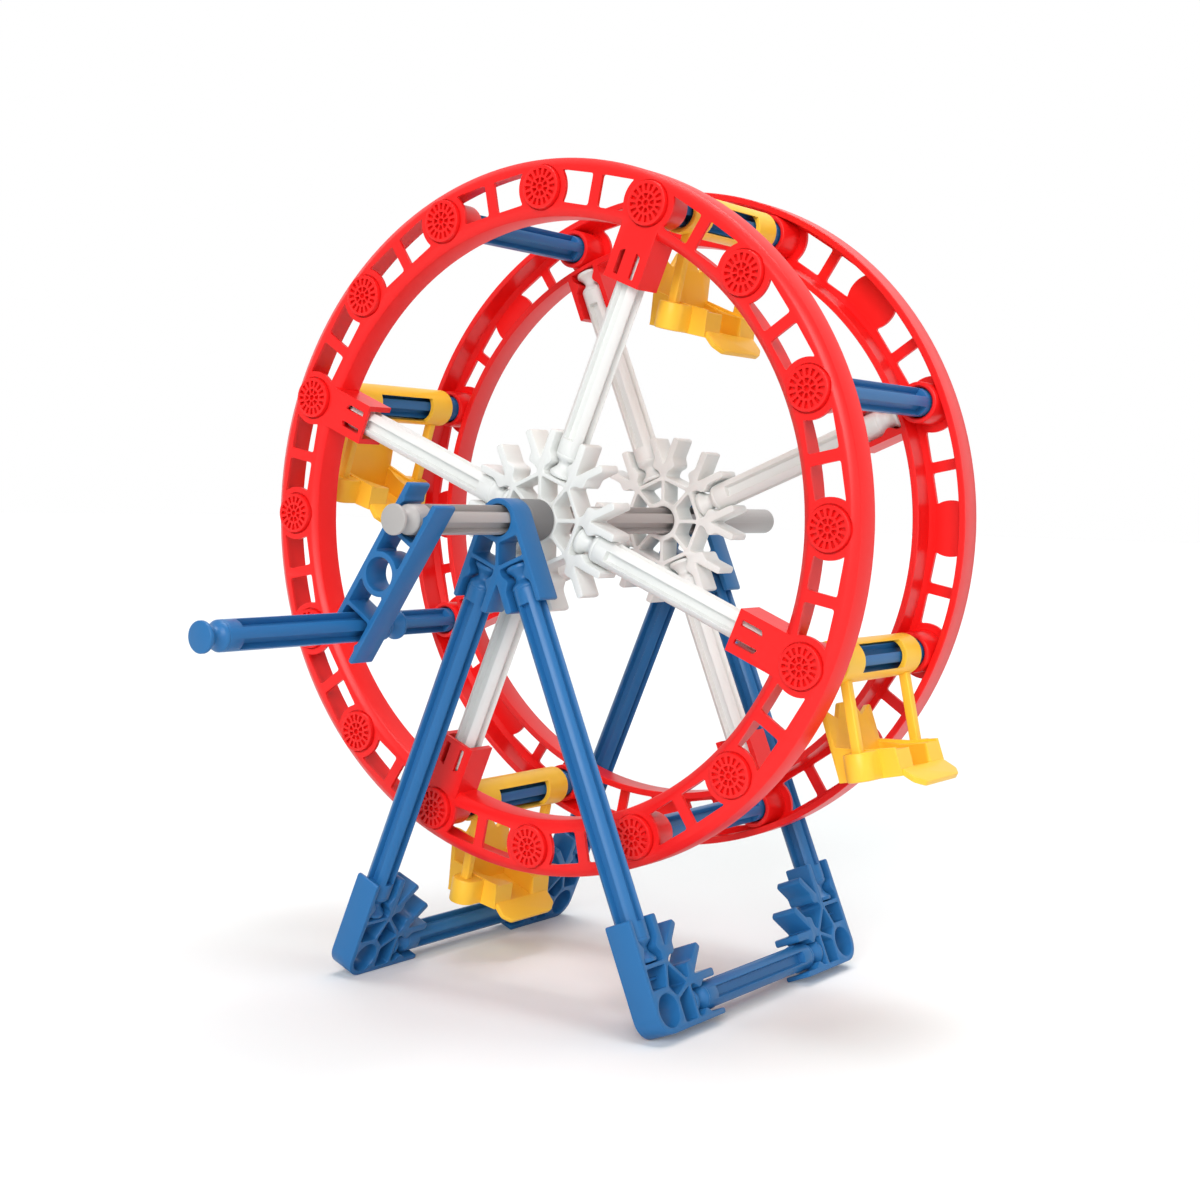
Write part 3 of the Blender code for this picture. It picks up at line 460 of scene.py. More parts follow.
def grip():
    """Half width of the space round a rod's end, by distance from that end."""
    waist = NECK_R + 0.00035
    bulge = SOCKET_HALF - waist
    run_in = NECK_AT - HEAD_T
    run_out = SHOULDER_END - NECK_AT
    return [
        (HEAD_T, SOCKET_HALF - 0.0001),
        (HEAD_T + 0.32 * run_in, SOCKET_HALF - 0.30 * bulge),
        (HEAD_T + 0.64 * run_in, SOCKET_HALF - 0.76 * bulge),
        (NECK_AT, waist),
        (NECK_AT + 0.33 * run_out, SOCKET_HALF - 0.76 * bulge),
        (NECK_AT + 0.66 * run_out, SOCKET_HALF - 0.24 * bulge),
        (SHOULDER_END - 0.0001, SOCKET_HALF),
    ]


def jaw_side(angle, side):
    """One side of a socket, from its back wall to its finger tip."""
    points = [(BACK_FACE, SOCKET_HALF - 0.0001)]
    points += [(ROD_END_AT + along, half) for along, half in grip()]
    points.append((REACH, SOCKET_HALF))
    return [polar(angle, out, side * half) for out, half in points]


def socket(angle):
    """Outline of one socket, in from one finger tip and out to the other."""
    return list(reversed(jaw_side(angle, -1))) + jaw_side(angle, 1)


def finger_notch(angle):
    """Outline across the split finger between this socket and the next."""
    outer = SOCKET_HALF + FINGER_WALL
    root = outer / math.sin(SOCKET_STEP / 2)
    return [
        polar(angle, REACH, outer),
        polar(angle + SOCKET_STEP / 2, root, 0.0),
        polar(angle + SOCKET_STEP, REACH, -outer),
    ]


def pocket(angle, low_rib, high_rib):
    """Pocket behind a back wall, with a rib or the outer flange on either side."""
    slant = RIB / 2 / math.cos(SOCKET_STEP / 2)
    corners = []
    for out in (RIM_R, BACK_INNER):
        at_rib = out * math.tan(SOCKET_STEP / 2) - slant
        low = -at_rib if low_rib else -SOCKET_HALF
        high = at_rib if high_rib else SOCKET_HALF
        corners.append((polar(angle, out, low), polar(angle, out, high)))
    (rim_low, rim_high), (wall_low, wall_high) = corners
    return [rim_high, wall_high, wall_low, rim_low]


def fan_connector(name, count):
    """A connector with sockets 45 degrees apart, the first along local X."""
    angles = [i * SOCKET_STEP for i in range(count)]
    last = angles[-1]
    outline = [polar(0.0, REACH, -FLANGE_OUT)]
    for angle in angles:
        outline += socket(angle)
        if angle != last:
            outline += finger_notch(angle)
    outline.append(polar(last, REACH, FLANGE_OUT))
    outline += arc(FLANGE_OUT, last + math.pi / 2, 1.5 * math.pi, 20)
    loops = [eased(outline), circle(HOLE_R)]
    loops += [eased(pocket(angle, angle != 0.0, angle != last), 0.0005) for angle in angles]
    body = plate(name, loops, PLATE_T, SOFT_EDGE)
    if count == 2:
        return body
    at = (RIM_R + BACK_INNER) / 2
    half_t = PLATE_T / 2 - CROSS_RIB_DROP
    ribs = []
    for angle in angles:
        half_w = at * math.tan(SOCKET_STEP / 2)
        low = -half_w if angle else -SOCKET_HALF - GAP
        high = half_w if angle != last else SOCKET_HALF + GAP
        rib = block("low_rib", (at - CROSS_RIB_T / 2, low, -half_t), (at + CROSS_RIB_T / 2, high, half_t))
        ribs.append(shifted(rib, Matrix.Rotation(angle, 4, "Z")))
    return tidied(with_tool(body, gathered("low_ribs", ribs), "UNION"))


def star_connector(name):
    """A hub with eight sockets, the first along local X."""
    angles = [i * SOCKET_STEP for i in range(8)]
    outline = []
    for angle in angles:
        outline += socket(angle) + finger_notch(angle)
    loops = [eased(outline), circle(HOLE_R)]
    loops += [eased(pocket(angle, True, True), 0.0005) for angle in angles]
    return plate(name, loops, PLATE_T, SOFT_EDGE)


def straight_connector(name):
    """A bar with a jaw at each end along local X, clipped across two rods."""
    outline = []
    loops = [circle(HOLE_R)]
    for angle in (0.0, math.pi):
        jaw = [
            (REACH, -FLANGE_OUT),
            (REACH, -SOCKET_HALF),
            (LIP_AT + CLIP_LIP_RUN, -SOCKET_HALF),
            (LIP_AT, -CLIP_LIP_HALF),
            (LIP_AT - CLIP_LIP_RUN, -SOCKET_HALF),
            (BACK_FACE, -SOCKET_HALF),
        ]
        jaw += [(out, -side) for out, side in reversed(jaw)]
        outline += [polar(angle, out, side) for out, side in jaw]
        lean = math.asin(0.9 * SOCKET_HALF / RIM_R)
        foot = RIM_R * math.cos(lean) + 0.0004
        loops.append(arc(RIM_R, angle - lean, angle + lean, 10) + [
            polar(angle, foot, SOCKET_HALF),
            polar(angle, BACK_INNER, SOCKET_HALF),
            polar(angle, BACK_INNER, -SOCKET_HALF),
            polar(angle, foot, -SOCKET_HALF),
        ])
    loops.append(eased(outline))
    return plate(name, loops, PLATE_T, SOFT_EDGE)


# Rings, built with their axis along local Z and their open side toward -Z


def channel(name):
    """The rim's channel with soft edges and a slanted band inside each chamfer."""
    e = RING_EDGE
    inner = RING_IN_R + RING_WALL
    outer = RING_OUT_R - RING_WALL
    slant_foot = RING_FLOOR_Y - RING_CHAMFER_T
    return drawn_out(name, [
        (RING_OUT_R, RING_OPEN_Y + e),
        (RING_OUT_R, RING_RIM_Y - e),
        (RING_OUT_R - e, RING_RIM_Y + e),
        (RING_OUT_R - RING_CHAMFER_W + e, RING_FACE_Y - e),
        (RING_OUT_R - RING_CHAMFER_W - e, RING_FACE_Y),
        (RING_IN_R + RING_CHAMFER_W + e, RING_FACE_Y),
        (RING_IN_R + RING_CHAMFER_W - e, RING_FACE_Y - e),
        (RING_IN_R + e, RING_RIM_Y + e),
        (RING_IN_R, RING_RIM_Y - e),
        (RING_IN_R, RING_OPEN_Y + e),
        (RING_IN_R + e, RING_OPEN_Y),
        (inner - e, RING_OPEN_Y),
        (inner, RING_OPEN_Y + e),
        (inner, slant_foot),
        (inner + RING_CHAMFER_T, RING_FLOOR_Y),
        (outer - RING_CHAMFER_T, RING_FLOOR_Y),
        (outer, slant_foot),
        (outer, RING_OPEN_Y + e),
        (outer + e, RING_OPEN_Y),
        (RING_OUT_R - e, RING_OPEN_Y),
    ], RING_SIDES, closed=True)


def window_outline(side):
    """One window in the plate, between a disc's round web and the middle web."""
    low = RING_MID_R - WINDOW_HALF_W
    high = RING_MID_R + WINDOW_HALF_W
    corner = math.acos(WINDOW_HALF_W / WEB_R)
    half_step = DISC_STEP / 2
    slant = MID_WEB / 2 / math.cos(half_step)
    outline = arc(WEB_R, math.pi - corner, corner, 8, (RING_MID_R, 0.0))
    for out in (high, low):
        outline.append((out * math.cos(half_step), out * math.sin(half_step) - slant))
    return [(x, side * y) for x, y in eased(outline)]


def window_cutter():
    """All the ring's windows as one cutter."""
    loops = []
    for i in range(DISC_COUNT):
        for side in (-1, 1):
            loops.append([polar(i * DISC_STEP, x, y) for x, y in window_outline(side)])
    cutter = plate("windows", loops, 4 * RING_PLATE_T)
    return shifted(cutter, Matrix.Translation((0, 0, RING_FACE_Y)))


def radial_cuts(name, places, shape, depth):
    """Cutter for the same tapering cut at several angles, sunk from a disc's face."""
    (start, start_half), (stop, stop_half) = shape
    loops = []
    for angle in places:
        corners = [(start, -start_half), (stop, -stop_half), (stop, stop_half), (start, start_half)]
        loops.append(eased([polar(angle, out, side) for out, side in corners], 0.00012))
    cutter = plate(name, loops, 2 * depth)
    return shifted(cutter, Matrix.Translation((0, 0, RING_FACE_Y + DISC_RAISE)))


def disc():
    """A raised disc with radial slots, a ring of deeper pockets and a shallow hole in its middle."""
    top = RING_FACE_Y + DISC_RAISE
    base = drawn_out("disc", [
        (DISC_R, RING_FACE_Y - 0.85 * RING_PLATE_T),
        (DISC_R, top - 0.00012),
        (DISC_R - 0.00004, top - 0.00004),
        (DISC_R - 0.00012, top),
    ], 48)
    slots = [i * DISC_STEP for i in range(DISC_COUNT)]
    pockets = [(i + 0.5) * SOCKET_STEP for i in range(8)]
    cuts = [
        radial_cuts("slots", slots, ((0.00248, 0.00024), (0.00392, 0.00042)), SLOT_DEPTH),
        radial_cuts("pockets", pockets, ((0.00096, 0.00024), (0.00198, 0.00056)), POCKET_DEPTH),
        drum("dot", 0.00060, top - POCKET_DEPTH, top + POCKET_DEPTH, 24),
    ]
    base = with_tool(base, gathered("cuts", cuts), "DIFFERENCE")
    return shifted(base, Matrix.Translation((RING_MID_R, 0, 0)))


def crevice():
    """The narrow gap in the plate round a disc's foot."""
    loops = [circle(DISC_R + CREVICE_W), circle(DISC_R - 0.0001)]
    cutter = plate("crevice", loops, 2 * CREVICE_DEPTH)
    return shifted(cutter, Matrix.Translation((RING_MID_R, 0, RING_FACE_Y)))


def boss():
    """Round seat for a cross rod's end, standing up from the channel's floor."""
    low = RING_OPEN_Y - BOSS_PROUD
    radius = HOLE_R + BOSS_WALL
    post = drawn_out("boss", [
        (radius - 0.00035, low),
        (radius - 0.00010, low + 0.00010),
        (radius, low + 0.00035),
        (radius, RING_FLOOR_Y + RING_PLATE_T / 2),
    ], 40)
    return shifted(post, Matrix.Translation((RING_MID_R, 0, 0)))


def bore():
    """The hole in a boss, with a lead-in at its mouth."""
    low = RING_OPEN_Y - BOSS_PROUD
    hole = drawn_out("bore", [
        (HOLE_R + 0.0006, low - 0.0003),
        (HOLE_R, low + 0.0003),
        (HOLE_R, RING_FLOOR_Y),
    ], 40)
    return shifted(hole, Matrix.Translation((RING_MID_R, 0, 0)))


def spoke_tab():
    """Block inside the ring that takes a spoke's end, its top run into the ring's face."""
    half = SOCKET_HALF + TAB_WALL
    start = RING_IN_R - TAB_REACH
    root = RING_IN_R + RING_CHAMFER_W - RING_PLATE_T / 2
    inside = RING_FLOOR_Y + RING_PLATE_T / 2
    profile = [
        (start, RING_OPEN_Y),
        (root, RING_OPEN_Y),
        (root, inside),
        (root + RING_PLATE_T, inside),
        (root + RING_PLATE_T, RING_FACE_Y),
        (start, RING_FACE_Y),
    ]
    return shifted(plate("tab", [profile], 2 * half), Matrix.Rotation(math.pi / 2, 4, "X"))


def tab_pocket():
    """Pocket in a tab, waisted at the spoke's neck."""
    side = [(SPOKE_OUT_R + GAP, -SOCKET_HALF + 0.0001)]
    side += [(SPOKE_OUT_R - along, -half) for along, half in grip()]
    side.append((RING_IN_R - TAB_REACH - GAP, -SOCKET_HALF))
    outline = side + [(x, -y) for x, y in reversed(side)]
    depth = RING_FLOOR_Y - RING_OPEN_Y + BOSS_PROUD
    cutter = plate("pocket", [eased(outline, 0.0004)], depth)
    return shifted(cutter, Matrix.Translation((0, 0, RING_FLOOR_Y - depth / 2)))


def tab_slot(side):
    """One of the two moulding slots through a tab's face, slanted at its outer end."""
    start = RING_IN_R - TAB_REACH + TAB_SLOT_END
    inner = TAB_SLOT_AT - TAB_SLOT_W / 2
    outer = TAB_SLOT_AT + TAB_SLOT_W / 2
    outline = [
        (start, side * inner),
        (start + TAB_SLOT_L, side * inner),
        (start + TAB_SLOT_L - 0.0007, side * outer),
        (start, side * outer),
    ]
    cutter = plate("slot", [eased(outline, 0.0003)], 4 * RING_PLATE_T)
    return shifted(cutter, Matrix.Translation((0, 0, RING_FACE_Y - RING_PLATE_T)))


def ring(name):
    """One wheel ring: channel, windows, discs, bosses and spoke tabs."""
    every = range(DISC_COUNT)
    bossed = range(0, DISC_COUNT, 2)
    spoked = range(0, DISC_COUNT, 4)
    body = with_tool(channel(name), window_cutter(), "DIFFERENCE")
    body = with_tool(body, round_ring(boss(), bossed), "UNION")
    body = with_tool(body, round_ring(spoke_tab(), spoked), "UNION")
    body = with_tool(body, round_ring(bore(), bossed), "DIFFERENCE")
    body = with_tool(body, round_ring(tab_pocket(), spoked), "DIFFERENCE")
    for side in (-1, 1):
        body = with_tool(body, round_ring(tab_slot(side), spoked), "DIFFERENCE")
    body = tidied(soften(plain(tidied(body)), 0.00016, 2, 60))
    body = with_tool(body, round_ring(crevice(), every), "DIFFERENCE")
    body = with_tool(body, round_ring(disc(), every), "UNION")
    return tidied(body)


# Seats, built about their cross rod: local Y along the rod, +X forward


def sleeve():
    """Tube round the cross rod with flared ends and a window either side."""
    radius = HOLE_R + SLEEVE_WALL
    end = SLEEVE_HALF_L
    tube = drawn_out("sleeve", [
        (HOLE_R, end - 0.0004),
        (HOLE_R + 0.0004, end),
        (radius - 0.0002, end),
        (radius, end - 0.0002),
        (radius, -end + 0.0002),
        (radius - 0.0002, -end),
        (HOLE_R + 0.0004, -end),
        (HOLE_R, -end + 0.0004),
    ], 48, closed=True)
    bar = HOLE_R * math.cos(math.pi / 6)
    opening = block(
        "opening", (-2 * radius, -bar, -SLEEVE_WINDOW_HALF), (2 * radius, bar, SLEEVE_WINDOW_HALF))
    tube = with_tool(tube, opening, "DIFFERENCE")
    tube = soften(tidied(tube), 0.00015, 2, 60)
    return shifted(tube, Matrix.Rotation(-math.pi / 2, 4, "X"))


def tub():
    """The seat's box: thin sides, a lower ledge inside them, and a well that narrows to the front."""
    lean = math.tan(SEAT_BACK_LEAN)
    hinge_z = SEAT_FLOOR_Z + SEAT_WALL / 2
    to_side = Matrix.Rotation(math.pi / 2, 4, "X")
    behind = 2 * SEAT_BACK_X
    side = [
        (SEAT_BACK_X, SEAT_FLOOR_Z),
        (SEAT_FRONT_X, SEAT_FLOOR_Z),
        (SEAT_FRONT_TOP_X, SEAT_SIDE_FRONT_Z),
        (POST_X, SEAT_SIDE_MIDDLE_Z),
        (SEAT_BACK_X + SEAT_WALL / 2 - lean * (SEAT_SIDE_BACK_Z - hinge_z), SEAT_SIDE_BACK_Z),
        (SEAT_BACK_X, hinge_z),
    ]
    shell = shifted(plate("tub", [side], 2 * SEAT_HALF_W), to_side)
    half = [
        (behind, SEAT_HALF_W - SEAT_WALL),
        (SEAT_BACK_X + SEAT_WALL, SEAT_HALF_W - SEAT_WALL),
        (SEAT_FRONT_X - 2 * WELL_FLARE, WELL_FRONT_HALF + 0.0001),
        (SEAT_FRONT_X - WELL_FLARE, WELL_FRONT_HALF + 0.0001),
        (SEAT_FRONT_X + WELL_FLARE, WELL_FRONT_HALF + 2 * WELL_FLARE),
    ]
    outline = [(x, -y) for x, y in half] + half[::-1]
    depth = 2 * (SEAT_SIDE_BACK_Z - SEAT_FLOOR_Z)
    well = shifted(
        plate("well", [eased(outline)], depth),
        Matrix.Translation((0, 0, SEAT_FLOOR_Z + SEAT_WALL + depth / 2)))
    fall = (SEAT_SIDE_BACK_Z - SEAT_SIDE_MIDDLE_Z) / (POST_X - SEAT_BACK_X)
    over_ledge = [
        (behind, SEAT_SIDE_BACK_Z - LEDGE_DROP - fall * SEAT_BACK_X),
        (POST_X, SEAT_SIDE_MIDDLE_Z - LEDGE_DROP),
        (2 * SEAT_FRONT_X, SEAT_SIDE_FRONT_Z - LEDGE_DROP),
        (2 * SEAT_FRONT_X, 0.0),
        (behind, 0.0),
    ]
    space = shifted(plate("over_ledge", [over_ledge], 2 * (SEAT_HALF_W - SIDE_WALL)), to_side)
    shell = with_tool(with_tool(shell, well, "DIFFERENCE"), space, "DIFFERENCE")
    return tidied(soften(plain(tidied(shell)), SEAT_EDGE, 2, 35))


def crown_back():
    """The seat's leaning back, with peaks at the corners and in the middle."""
    half = [
        (SEAT_HALF_W, SEAT_FLOOR_Z + SEAT_WALL / 4),
        (SEAT_HALF_W, CROWN_CORNER_Z),
        (SEAT_HALF_W - CROWN_CORNER_W, CROWN_CORNER_Z),
        (CROWN_NOTCH_Y, CROWN_NOTCH_Z),
        (CROWN_MIDDLE_Y, CROWN_MIDDLE_Z),
    ]
    crown = half + [(-y, z) for y, z in reversed(half)]
    to_back = Matrix(((0, 0, 1, 0), (1, 0, 0, 0), (0, 1, 0, 0), (0, 0, 0, 1)))
    lean = math.tan(SEAT_BACK_LEAN)
    middle = SEAT_BACK_X + SEAT_WALL / 2 + lean * (SEAT_FLOOR_Z + SEAT_WALL / 2)
    leaning = Matrix.Translation((middle, 0, 0))
    leaning[0][2] = -lean
    return shifted(plate("back", [eased(crown)], SEAT_WALL, SEAT_EDGE), leaning @ to_back)


def footrest():
    """Sloping plate at the seat's front edge."""
    run = math.hypot(FOOTREST_DROP, FOOTREST_REACH)
    half = [
        (-SEAT_WALL / 2, FOOTREST_HALF_W),
        (run - FOOTREST_CHAMFER_L, FOOTREST_HALF_W),
        (run, FOOTREST_HALF_W - FOOTREST_CHAMFER_W),
    ]
    outline = half + [(x, -y) for x, y in reversed(half)]
    board = plate("footrest", [eased(outline)], FOOTREST_T, SEAT_EDGE)
    place = Matrix.Translation((SEAT_FRONT_X, 0, SEAT_FLOOR_Z + FOOTREST_T / 2))
    slope = math.atan2(FOOTREST_DROP, FOOTREST_REACH)
    return shifted(board, place @ Matrix.Rotation(slope, 4, "Y"))


def lug_and_post(side):
    """The round lug on one side wall and the square post that stands in it."""
    at = side * POST_Y
    wall = side * (SEAT_HALF_W - SEAT_WALL / 2)
    outline = [(POST_X + LUG_R, wall)]
    outline += [(POST_X + x, at + side * y) for x, y in arc(LUG_R, 0.0, math.pi, 20)]
    outline.append((POST_X - LUG_R, wall))
    height = LUG_TOP_Z - SEAT_FLOOR_Z
    lug = shifted(
        plate("lug", [outline], height, 0.0005),
        Matrix.Translation((0, 0, (LUG_TOP_Z + SEAT_FLOOR_Z) / 2)))
    top = -(HOLE_R + SLEEVE_WALL / 2)
    post = block(
        "post", (POST_X - POST_HALF, at - POST_HALF, LUG_TOP_Z - SEAT_WALL),
        (POST_X + POST_HALF, at + POST_HALF, top))
    return [lug, soften(post, 0.0003, 3)]


def seat(name):
    """One hanging seat, joined into a single moulding."""
    body = tub()
    for piece in [crown_back(), footrest(), *lug_and_post(-1), *lug_and_post(1), sleeve()]:
        body = with_tool(body, piece, "UNION")
    body.name = name
    return tidied(body)


# Finishes


def moulded_plastic(name, colour, roughness, grain=0.05):
    """Satin moulded plastic: faint colour drift, uneven gloss and a very fine skin."""
    finish = bpy.data.materials.new(name)
    finish.use_nodes = True
    nodes = finish.node_tree.nodes
    links = finish.node_tree.links
    shader = nodes["Principled BSDF"]
    shader.inputs["Specular IOR Level"].default_value = 0.3
    place = nodes.new("ShaderNodeTexCoord")

    drift = nodes.new("ShaderNodeTexNoise")
    drift.inputs["Scale"].default_value = 45
    drift.inputs["Detail"].default_value = 2
    links.new(place.outputs["Object"], drift.inputs["Vector"])
    tint = nodes.new("ShaderNodeMix")
    tint.data_type = "RGBA"
    tint.inputs["A"].default_value = (*[c * 0.965 for c in colour], 1)
    tint.inputs["B"].default_value = (*[min(c * 1.035, 1) for c in colour], 1)
    links.new(drift.outputs["Fac"], tint.inputs["Factor"])
    links.new(tint.outputs["Result"], shader.inputs["Base Color"])

    gloss = nodes.new("ShaderNodeTexNoise")
    gloss.inputs["Scale"].default_value = 180
    gloss.inputs["Detail"].default_value = 3
    links.new(place.outputs["Object"], gloss.inputs["Vector"])
    spread = nodes.new("ShaderNodeMapRange")
    spread.inputs["To Min"].default_value = roughness - 0.05
    spread.inputs["To Max"].default_value = roughness + 0.05
    links.new(gloss.outputs["Fac"], spread.inputs["Value"])
    links.new(spread.outputs["Result"], shader.inputs["Roughness"])

    skin = nodes.new("ShaderNodeTexNoise")
    skin.inputs["Scale"].default_value = 1400
    skin.inputs["Detail"].default_value = 3
    links.new(place.outputs["Object"], skin.inputs["Vector"])
    bump = nodes.new("ShaderNodeBump")
    bump.inputs["Strength"].default_value = grain
    bump.inputs["Distance"].default_value = 0.0001
    links.new(skin.outputs["Fac"], bump.inputs["Height"])
    links.new(bump.outputs["Normal"], shader.inputs["Normal"])
    return finish


FINISHES = {
    "red_plastic": moulded_plastic("red_moulding", (0.88, 0.012, 0.012), 0.34),
    "blue_plastic": moulded_plastic("blue_moulding", (0.020, 0.142, 0.362), 0.34),
    "white_plastic": moulded_plastic("white_moulding", (0.79, 0.80, 0.78), 0.36),
    "grey_plastic": moulded_plastic("grey_moulding", (0.42, 0.40, 0.39), 0.34),
    "dark_grey_plastic": moulded_plastic("dark_grey_moulding", (0.19, 0.19, 0.19), 0.50, 0.12),
    "yellow_plastic": moulded_plastic("yellow_moulding", (0.99, 0.57, 0.045), 0.36),
}


# Placing


def placement(origin, x_axis, z_axis):
    """A placement from an origin, a local X and a local Z direction."""
    z = Vector(z_axis).normalized()
    x = Vector(x_axis).normalized()
    rotation = Matrix((x, z.cross(x), z)).transposed().to_4x4()
    return Matrix.Translation(origin) @ rotation


def put(node, master, slot, matrix):
    """Put a copy of a master where its CAD node is, in its finish."""
    piece = twin(master, "moulded_" + node, matrix)
    piece.data.name = piece.name
    piece.data.materials.clear()
    piece.data.materials.append(FINISHES[slot])
    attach(piece, BODY_OF[node])
    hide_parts(node)
    return piece


def wheel_direction(index):
    """Unit direction from the axle to a disc, clockwise seen from the crank."""
    angle = WHEEL_TURN + index * DISC_STEP
    return Vector((math.sin(angle), 0, math.cos(angle)))


def put_stand():
    """Two A-frames, four feet and two base rods."""
    apex = fan_connector("apex_master", 2)
    foot = fan_connector("foot_master", 3)
    leg = rod("leg_master", LONG_ROD, rod_end(), rod_end())
    base = rod("base_rod_master", SHORT_ROD, rod_end(), rod_end())
    for depth, sign_y in NEAR_FAR.items():
        top = STAND_MIDDLE + Y_AXIS * sign_y * STAND_PITCH / 2
        first = Vector((-math.sin(LEG_SPREAD), 0, -math.cos(LEG_SPREAD)))
        second = Vector((math.cos(LEG_SPREAD), 0, -math.sin(LEG_SPREAD)))
        put("apex_" + depth, apex, "blue_plastic", placement(top, first, first.cross(second)))
        for hand, sign_x in LEFT_RIGHT.items():
            down = Vector((sign_x * math.sin(LEG_SPREAD), 0, -math.cos(LEG_SPREAD)))
            leg_ridge = Y_AXIS + Y_AXIS.cross(down)
            put(f"leg_{depth}_{hand}", leg, "blue_plastic", placement(top + down * ROD_END_AT, leg_ridge, down))
            corner = top + down * LEG_PITCH
            inward = -sign_y * Y_AXIS
            if inward.cross(-down).x * sign_x > 0:
                matrix = placement(corner, inward, inward.cross(-down))
            else:
                matrix = placement(corner, -down, (-down).cross(inward))
            put(f"foot_{depth}_{hand}", foot, "blue_plastic", matrix)
            if depth == "near":
                start = corner + inward * ROD_END_AT
                base_ridge = down + inward.cross(down)
                put(f"base_rod_{hand}", base, "blue_plastic", placement(start, base_ridge, inward))
    return [apex, foot, leg, base]


def put_crank():
    """Axle, spacer, crank bar and handle."""
    bar_down = Vector((-math.sin(CRANK_LEAN), 0, -math.cos(CRANK_LEAN)))
    ridge = bar_down + Y_AXIS.cross(bar_down)
    axle = rod("axle_master", AXLE_ROD - AXLE_FAR_CUT, rod_end(), cut_end())
    put("axle", axle, "grey_plastic", placement(STAND_MIDDLE - Y_AXIS * AXLE_NEAR_END, ridge, Y_AXIS))
    handle = rod("handle_master", SHORT_ROD, rod_end(), rod_end())
    handle_end = STAND_MIDDLE + bar_down * 2 * CLIP_AT - Y_AXIS * HANDLE_NEAR_END
    put("crank_handle", handle, "blue_plastic", placement(handle_end, ridge, Y_AXIS))
    bar = straight_connector("crank_bar_master")
    bar_middle = STAND_MIDDLE + bar_down * CLIP_AT - Y_AXIS * (CRANK_BAR_FACE - PLATE_T / 2)
    put("crank_bar", bar, "blue_plastic", placement(bar_middle, bar_down, Y_AXIS))

    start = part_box("spacer")[0].y
    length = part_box("spacer")[1].y - start
    radius = HOLE_R + SPACER_WALL
    spacer = drawn_out("spacer_master", [
        (HOLE_R, 0.0003),
        (HOLE_R + 0.0003, 0.0),
        (radius - 0.0003, 0.0),
        (radius, 0.0003),
        (radius, length - 0.0003),
        (radius - 0.0003, length),
        (HOLE_R + 0.0003, length),
        (HOLE_R, length - 0.0003),
    ], 48, closed=True)
    near_end = Vector((WHEEL_MIDDLE.x, start, WHEEL_MIDDLE.z))
    put("spacer", spacer, "dark_grey_plastic", placement(near_end, (1, 0, 0), Y_AXIS))
    return [axle, handle, bar, spacer]


def put_wheel():
    """Hubs, spokes, rings and cross rods."""
    rim = ring("ring_master")
    hub = star_connector("hub_master")
    spoke = rod("spoke_master", SHORT_ROD, rod_end(), rod_end())
    cross_rod = rod("cross_rod_master", SHORT_ROD, journal_end(), journal_end())
    for depth, sign_y in NEAR_FAR.items():
        out = sign_y * Y_AXIS
        first = 0 if depth == "near" else 2
        middle = WHEEL_MIDDLE + out * RING_MID_Y
        toward = wheel_direction(first)
        put("ring_" + depth, rim, "red_plastic", placement(WHEEL_MIDDLE, toward, out))
        put("hub_" + depth, hub, "white_plastic", placement(middle, toward, out))
        for count in range(4):
            direction = wheel_direction(first + 4 * count)
            spoke_ridge = Y_AXIS + Y_AXIS.cross(direction)
            put(
                f"spoke_{depth}_{count + 1}", spoke, "white_plastic",
                placement(middle + direction * ROD_END_AT, spoke_ridge, direction))
    for count in range(DISC_COUNT // 2):
        start = WHEEL_MIDDLE + wheel_direction(2 * count) * RING_MID_R - Y_AXIS * SHORT_ROD / 2
        put(f"cross_rod_{count + 1}", cross_rod, "blue_plastic", placement(start, (1, 0, 0), Y_AXIS))
    return [rim, hub, spoke, cross_rod]


def put_seats():
    """Four seats, each hanging from its own cross rod."""
    chair = seat("seat_master")
    for count, swing in enumerate(SEAT_SWING):
        node = f"seat_{count + 1}"
        matrix = Matrix.Translation(PIVOTS[node]) @ Matrix.Rotation(-swing, 4, "Y")
        put(node, chair, "yellow_plastic", matrix)
    return [chair]


# Stage, light and camera

FLOOR_COLOUR = (0.87, 0.90, 0.90)
FLOOR_GLOW = 0.09
SKY_LIGHT = 0.12
CAMERA_AT = WHEEL_MIDDLE + Vector((0.236818, -0.345201, 0.004674))
CAMERA_YAW = math.radians(34.743)
CAMERA_PITCH = math.radians(-3.122)
CAMERA_ROLL = math.radians(1.223)
CAMERA_LENS = 55.153


def floor():
    """Plain white floor that keeps the shadow, with a little glow for camera rays only."""
    hold(None)
    bpy.ops.mesh.primitive_plane_add(size=12, location=(0, 0, 0))
    ground = settled("floor")
    paint = bpy.data.materials.new("white_floor")
    paint.use_nodes = True
    nodes = paint.node_tree.nodes
    links = paint.node_tree.links
    shader = nodes["Principled BSDF"]
    shader.inputs["Base Color"].default_value = (*FLOOR_COLOUR, 1)
    shader.inputs["Roughness"].default_value = 0.9
    shader.inputs["Specular IOR Level"].default_value = 0.1
    shader.inputs["Emission Color"].default_value = (1, 1, 1, 1)
    ray = nodes.new("ShaderNodeLightPath")
    glow = nodes.new("ShaderNodeMapRange")
    glow.inputs["To Min"].default_value = 0.0
    glow.inputs["To Max"].default_value = FLOOR_GLOW
    links.new(ray.outputs["Is Camera Ray"], glow.inputs["Value"])
    links.new(glow.outputs["Result"], shader.inputs["Emission Strength"])
    ground.data.materials.append(paint)


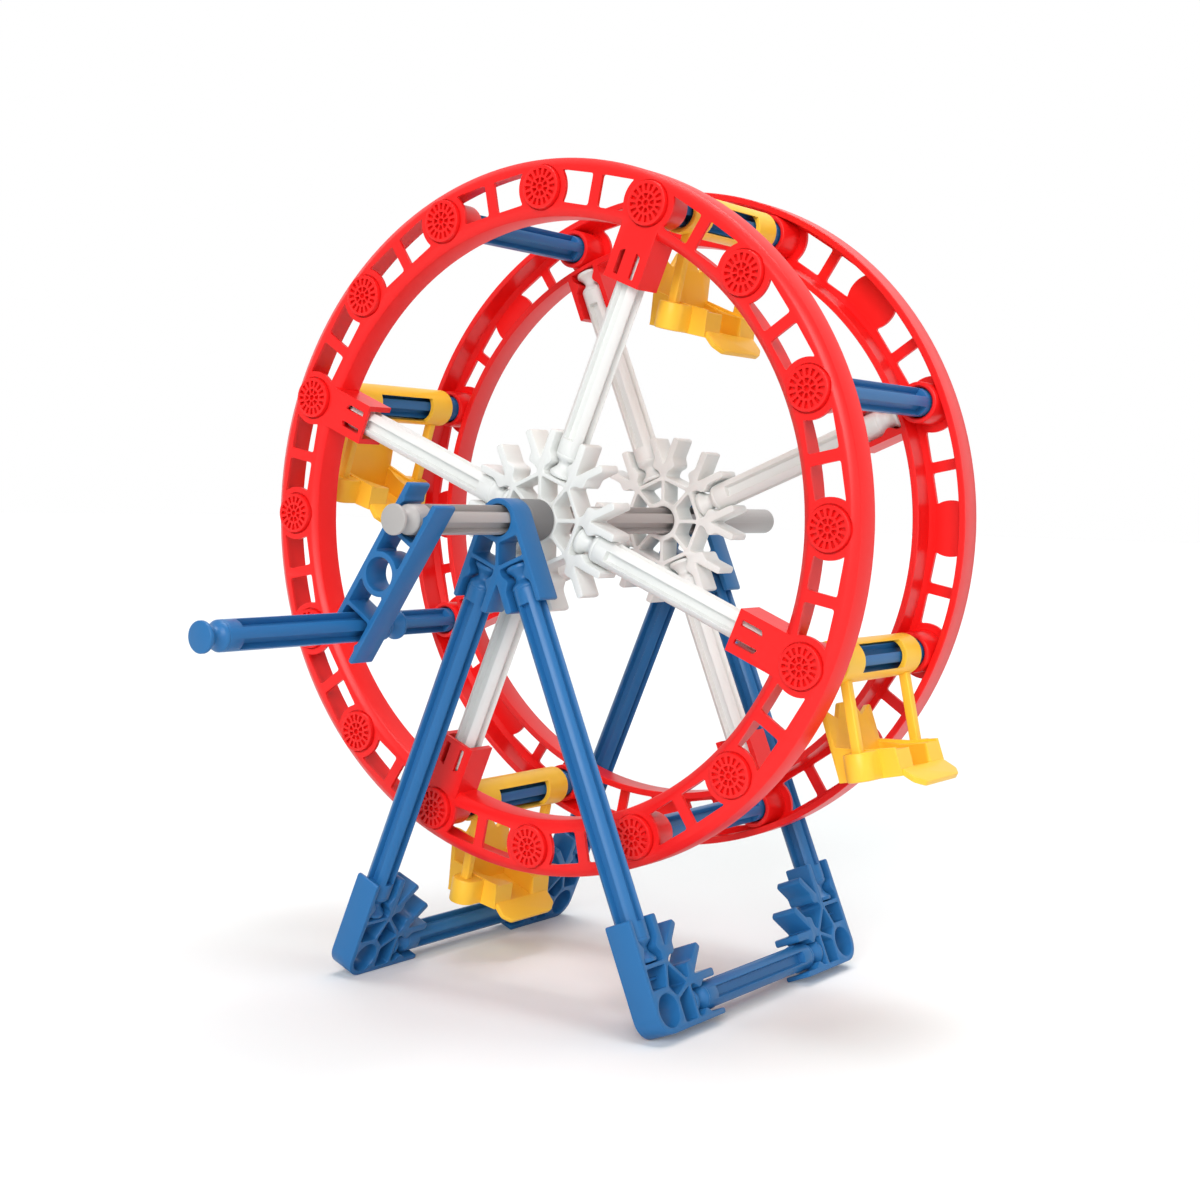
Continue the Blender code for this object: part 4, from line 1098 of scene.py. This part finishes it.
def daylight():
    """Even white world: full white to the eye and in reflections, dimmer as light."""
    world = bpy.data.worlds.new("white_room")
    bpy.context.scene.world = world
    world.use_nodes = True
    nodes = world.node_tree.nodes
    links = world.node_tree.links
    sky = nodes["Background"]
    sky.inputs["Color"].default_value = (1, 1, 1, 1)
    ray = nodes.new("ShaderNodeLightPath")
    seen = ray.outputs["Is Camera Ray"]
    for kind in ("Is Glossy Ray", "Is Transmission Ray"):
        either = nodes.new("ShaderNodeMath")
        either.operation = "MAXIMUM"
        links.new(seen, either.inputs[0])
        links.new(ray.outputs[kind], either.inputs[1])
        seen = either.outputs["Value"]
    level = nodes.new("ShaderNodeMapRange")
    level.inputs["To Min"].default_value = SKY_LIGHT
    level.inputs["To Max"].default_value = 1.0
    links.new(seen, level.inputs["Value"])
    links.new(level.outputs["Result"], sky.inputs["Strength"])


def sun(name, toward, power, spread):
    """A wide sun that shines from a direction."""
    light = bpy.data.lights.new(name, "SUN")
    light.energy = power
    light.angle = math.radians(spread)
    lamp = bpy.data.objects.new(name, light)
    bpy.context.scene.collection.objects.link(lamp)
    lamp.rotation_euler = (-Vector(toward)).to_track_quat("-Z", "Y").to_euler()
    return lamp


def camera():
    """Camera at the photograph's viewing angle."""
    flat = math.cos(CAMERA_PITCH)
    ahead = Vector((
        -math.sin(CAMERA_YAW) * flat, math.cos(CAMERA_YAW) * flat, math.sin(CAMERA_PITCH)))
    right = Vector((math.cos(CAMERA_YAW), math.sin(CAMERA_YAW), 0))
    above = right.cross(ahead)
    c = math.cos(CAMERA_ROLL)
    s = math.sin(CAMERA_ROLL)
    tilted_right = right * c + above * s
    tilted_above = above * c - right * s
    eye = bpy.data.cameras.new("camera")
    eye.lens = CAMERA_LENS
    eye.sensor_width = 36
    eye.clip_start = 0.01
    body = bpy.data.objects.new("camera", eye)
    bpy.context.scene.collection.objects.link(body)
    rotation = Matrix((tilted_right, tilted_above, -ahead)).transposed().to_4x4()
    body.matrix_world = Matrix.Translation(CAMERA_AT) @ rotation
    bpy.context.scene.camera = body


masters = put_stand() + put_crank() + put_wheel() + put_seats()
for master in masters:
    bpy.data.objects.remove(master)

floor()
daylight()
sun("overhead_sun", (0.05, 0.12, 1.0), 2.2, 42)
sun("front_sun", (0.38, -0.85, 0.43), 2.35, 38)
sun("side_sun", (0.95, -0.25, -0.10), 0.7, 60)
camera()
bpy.context.scene.view_settings.view_transform = "Standard"
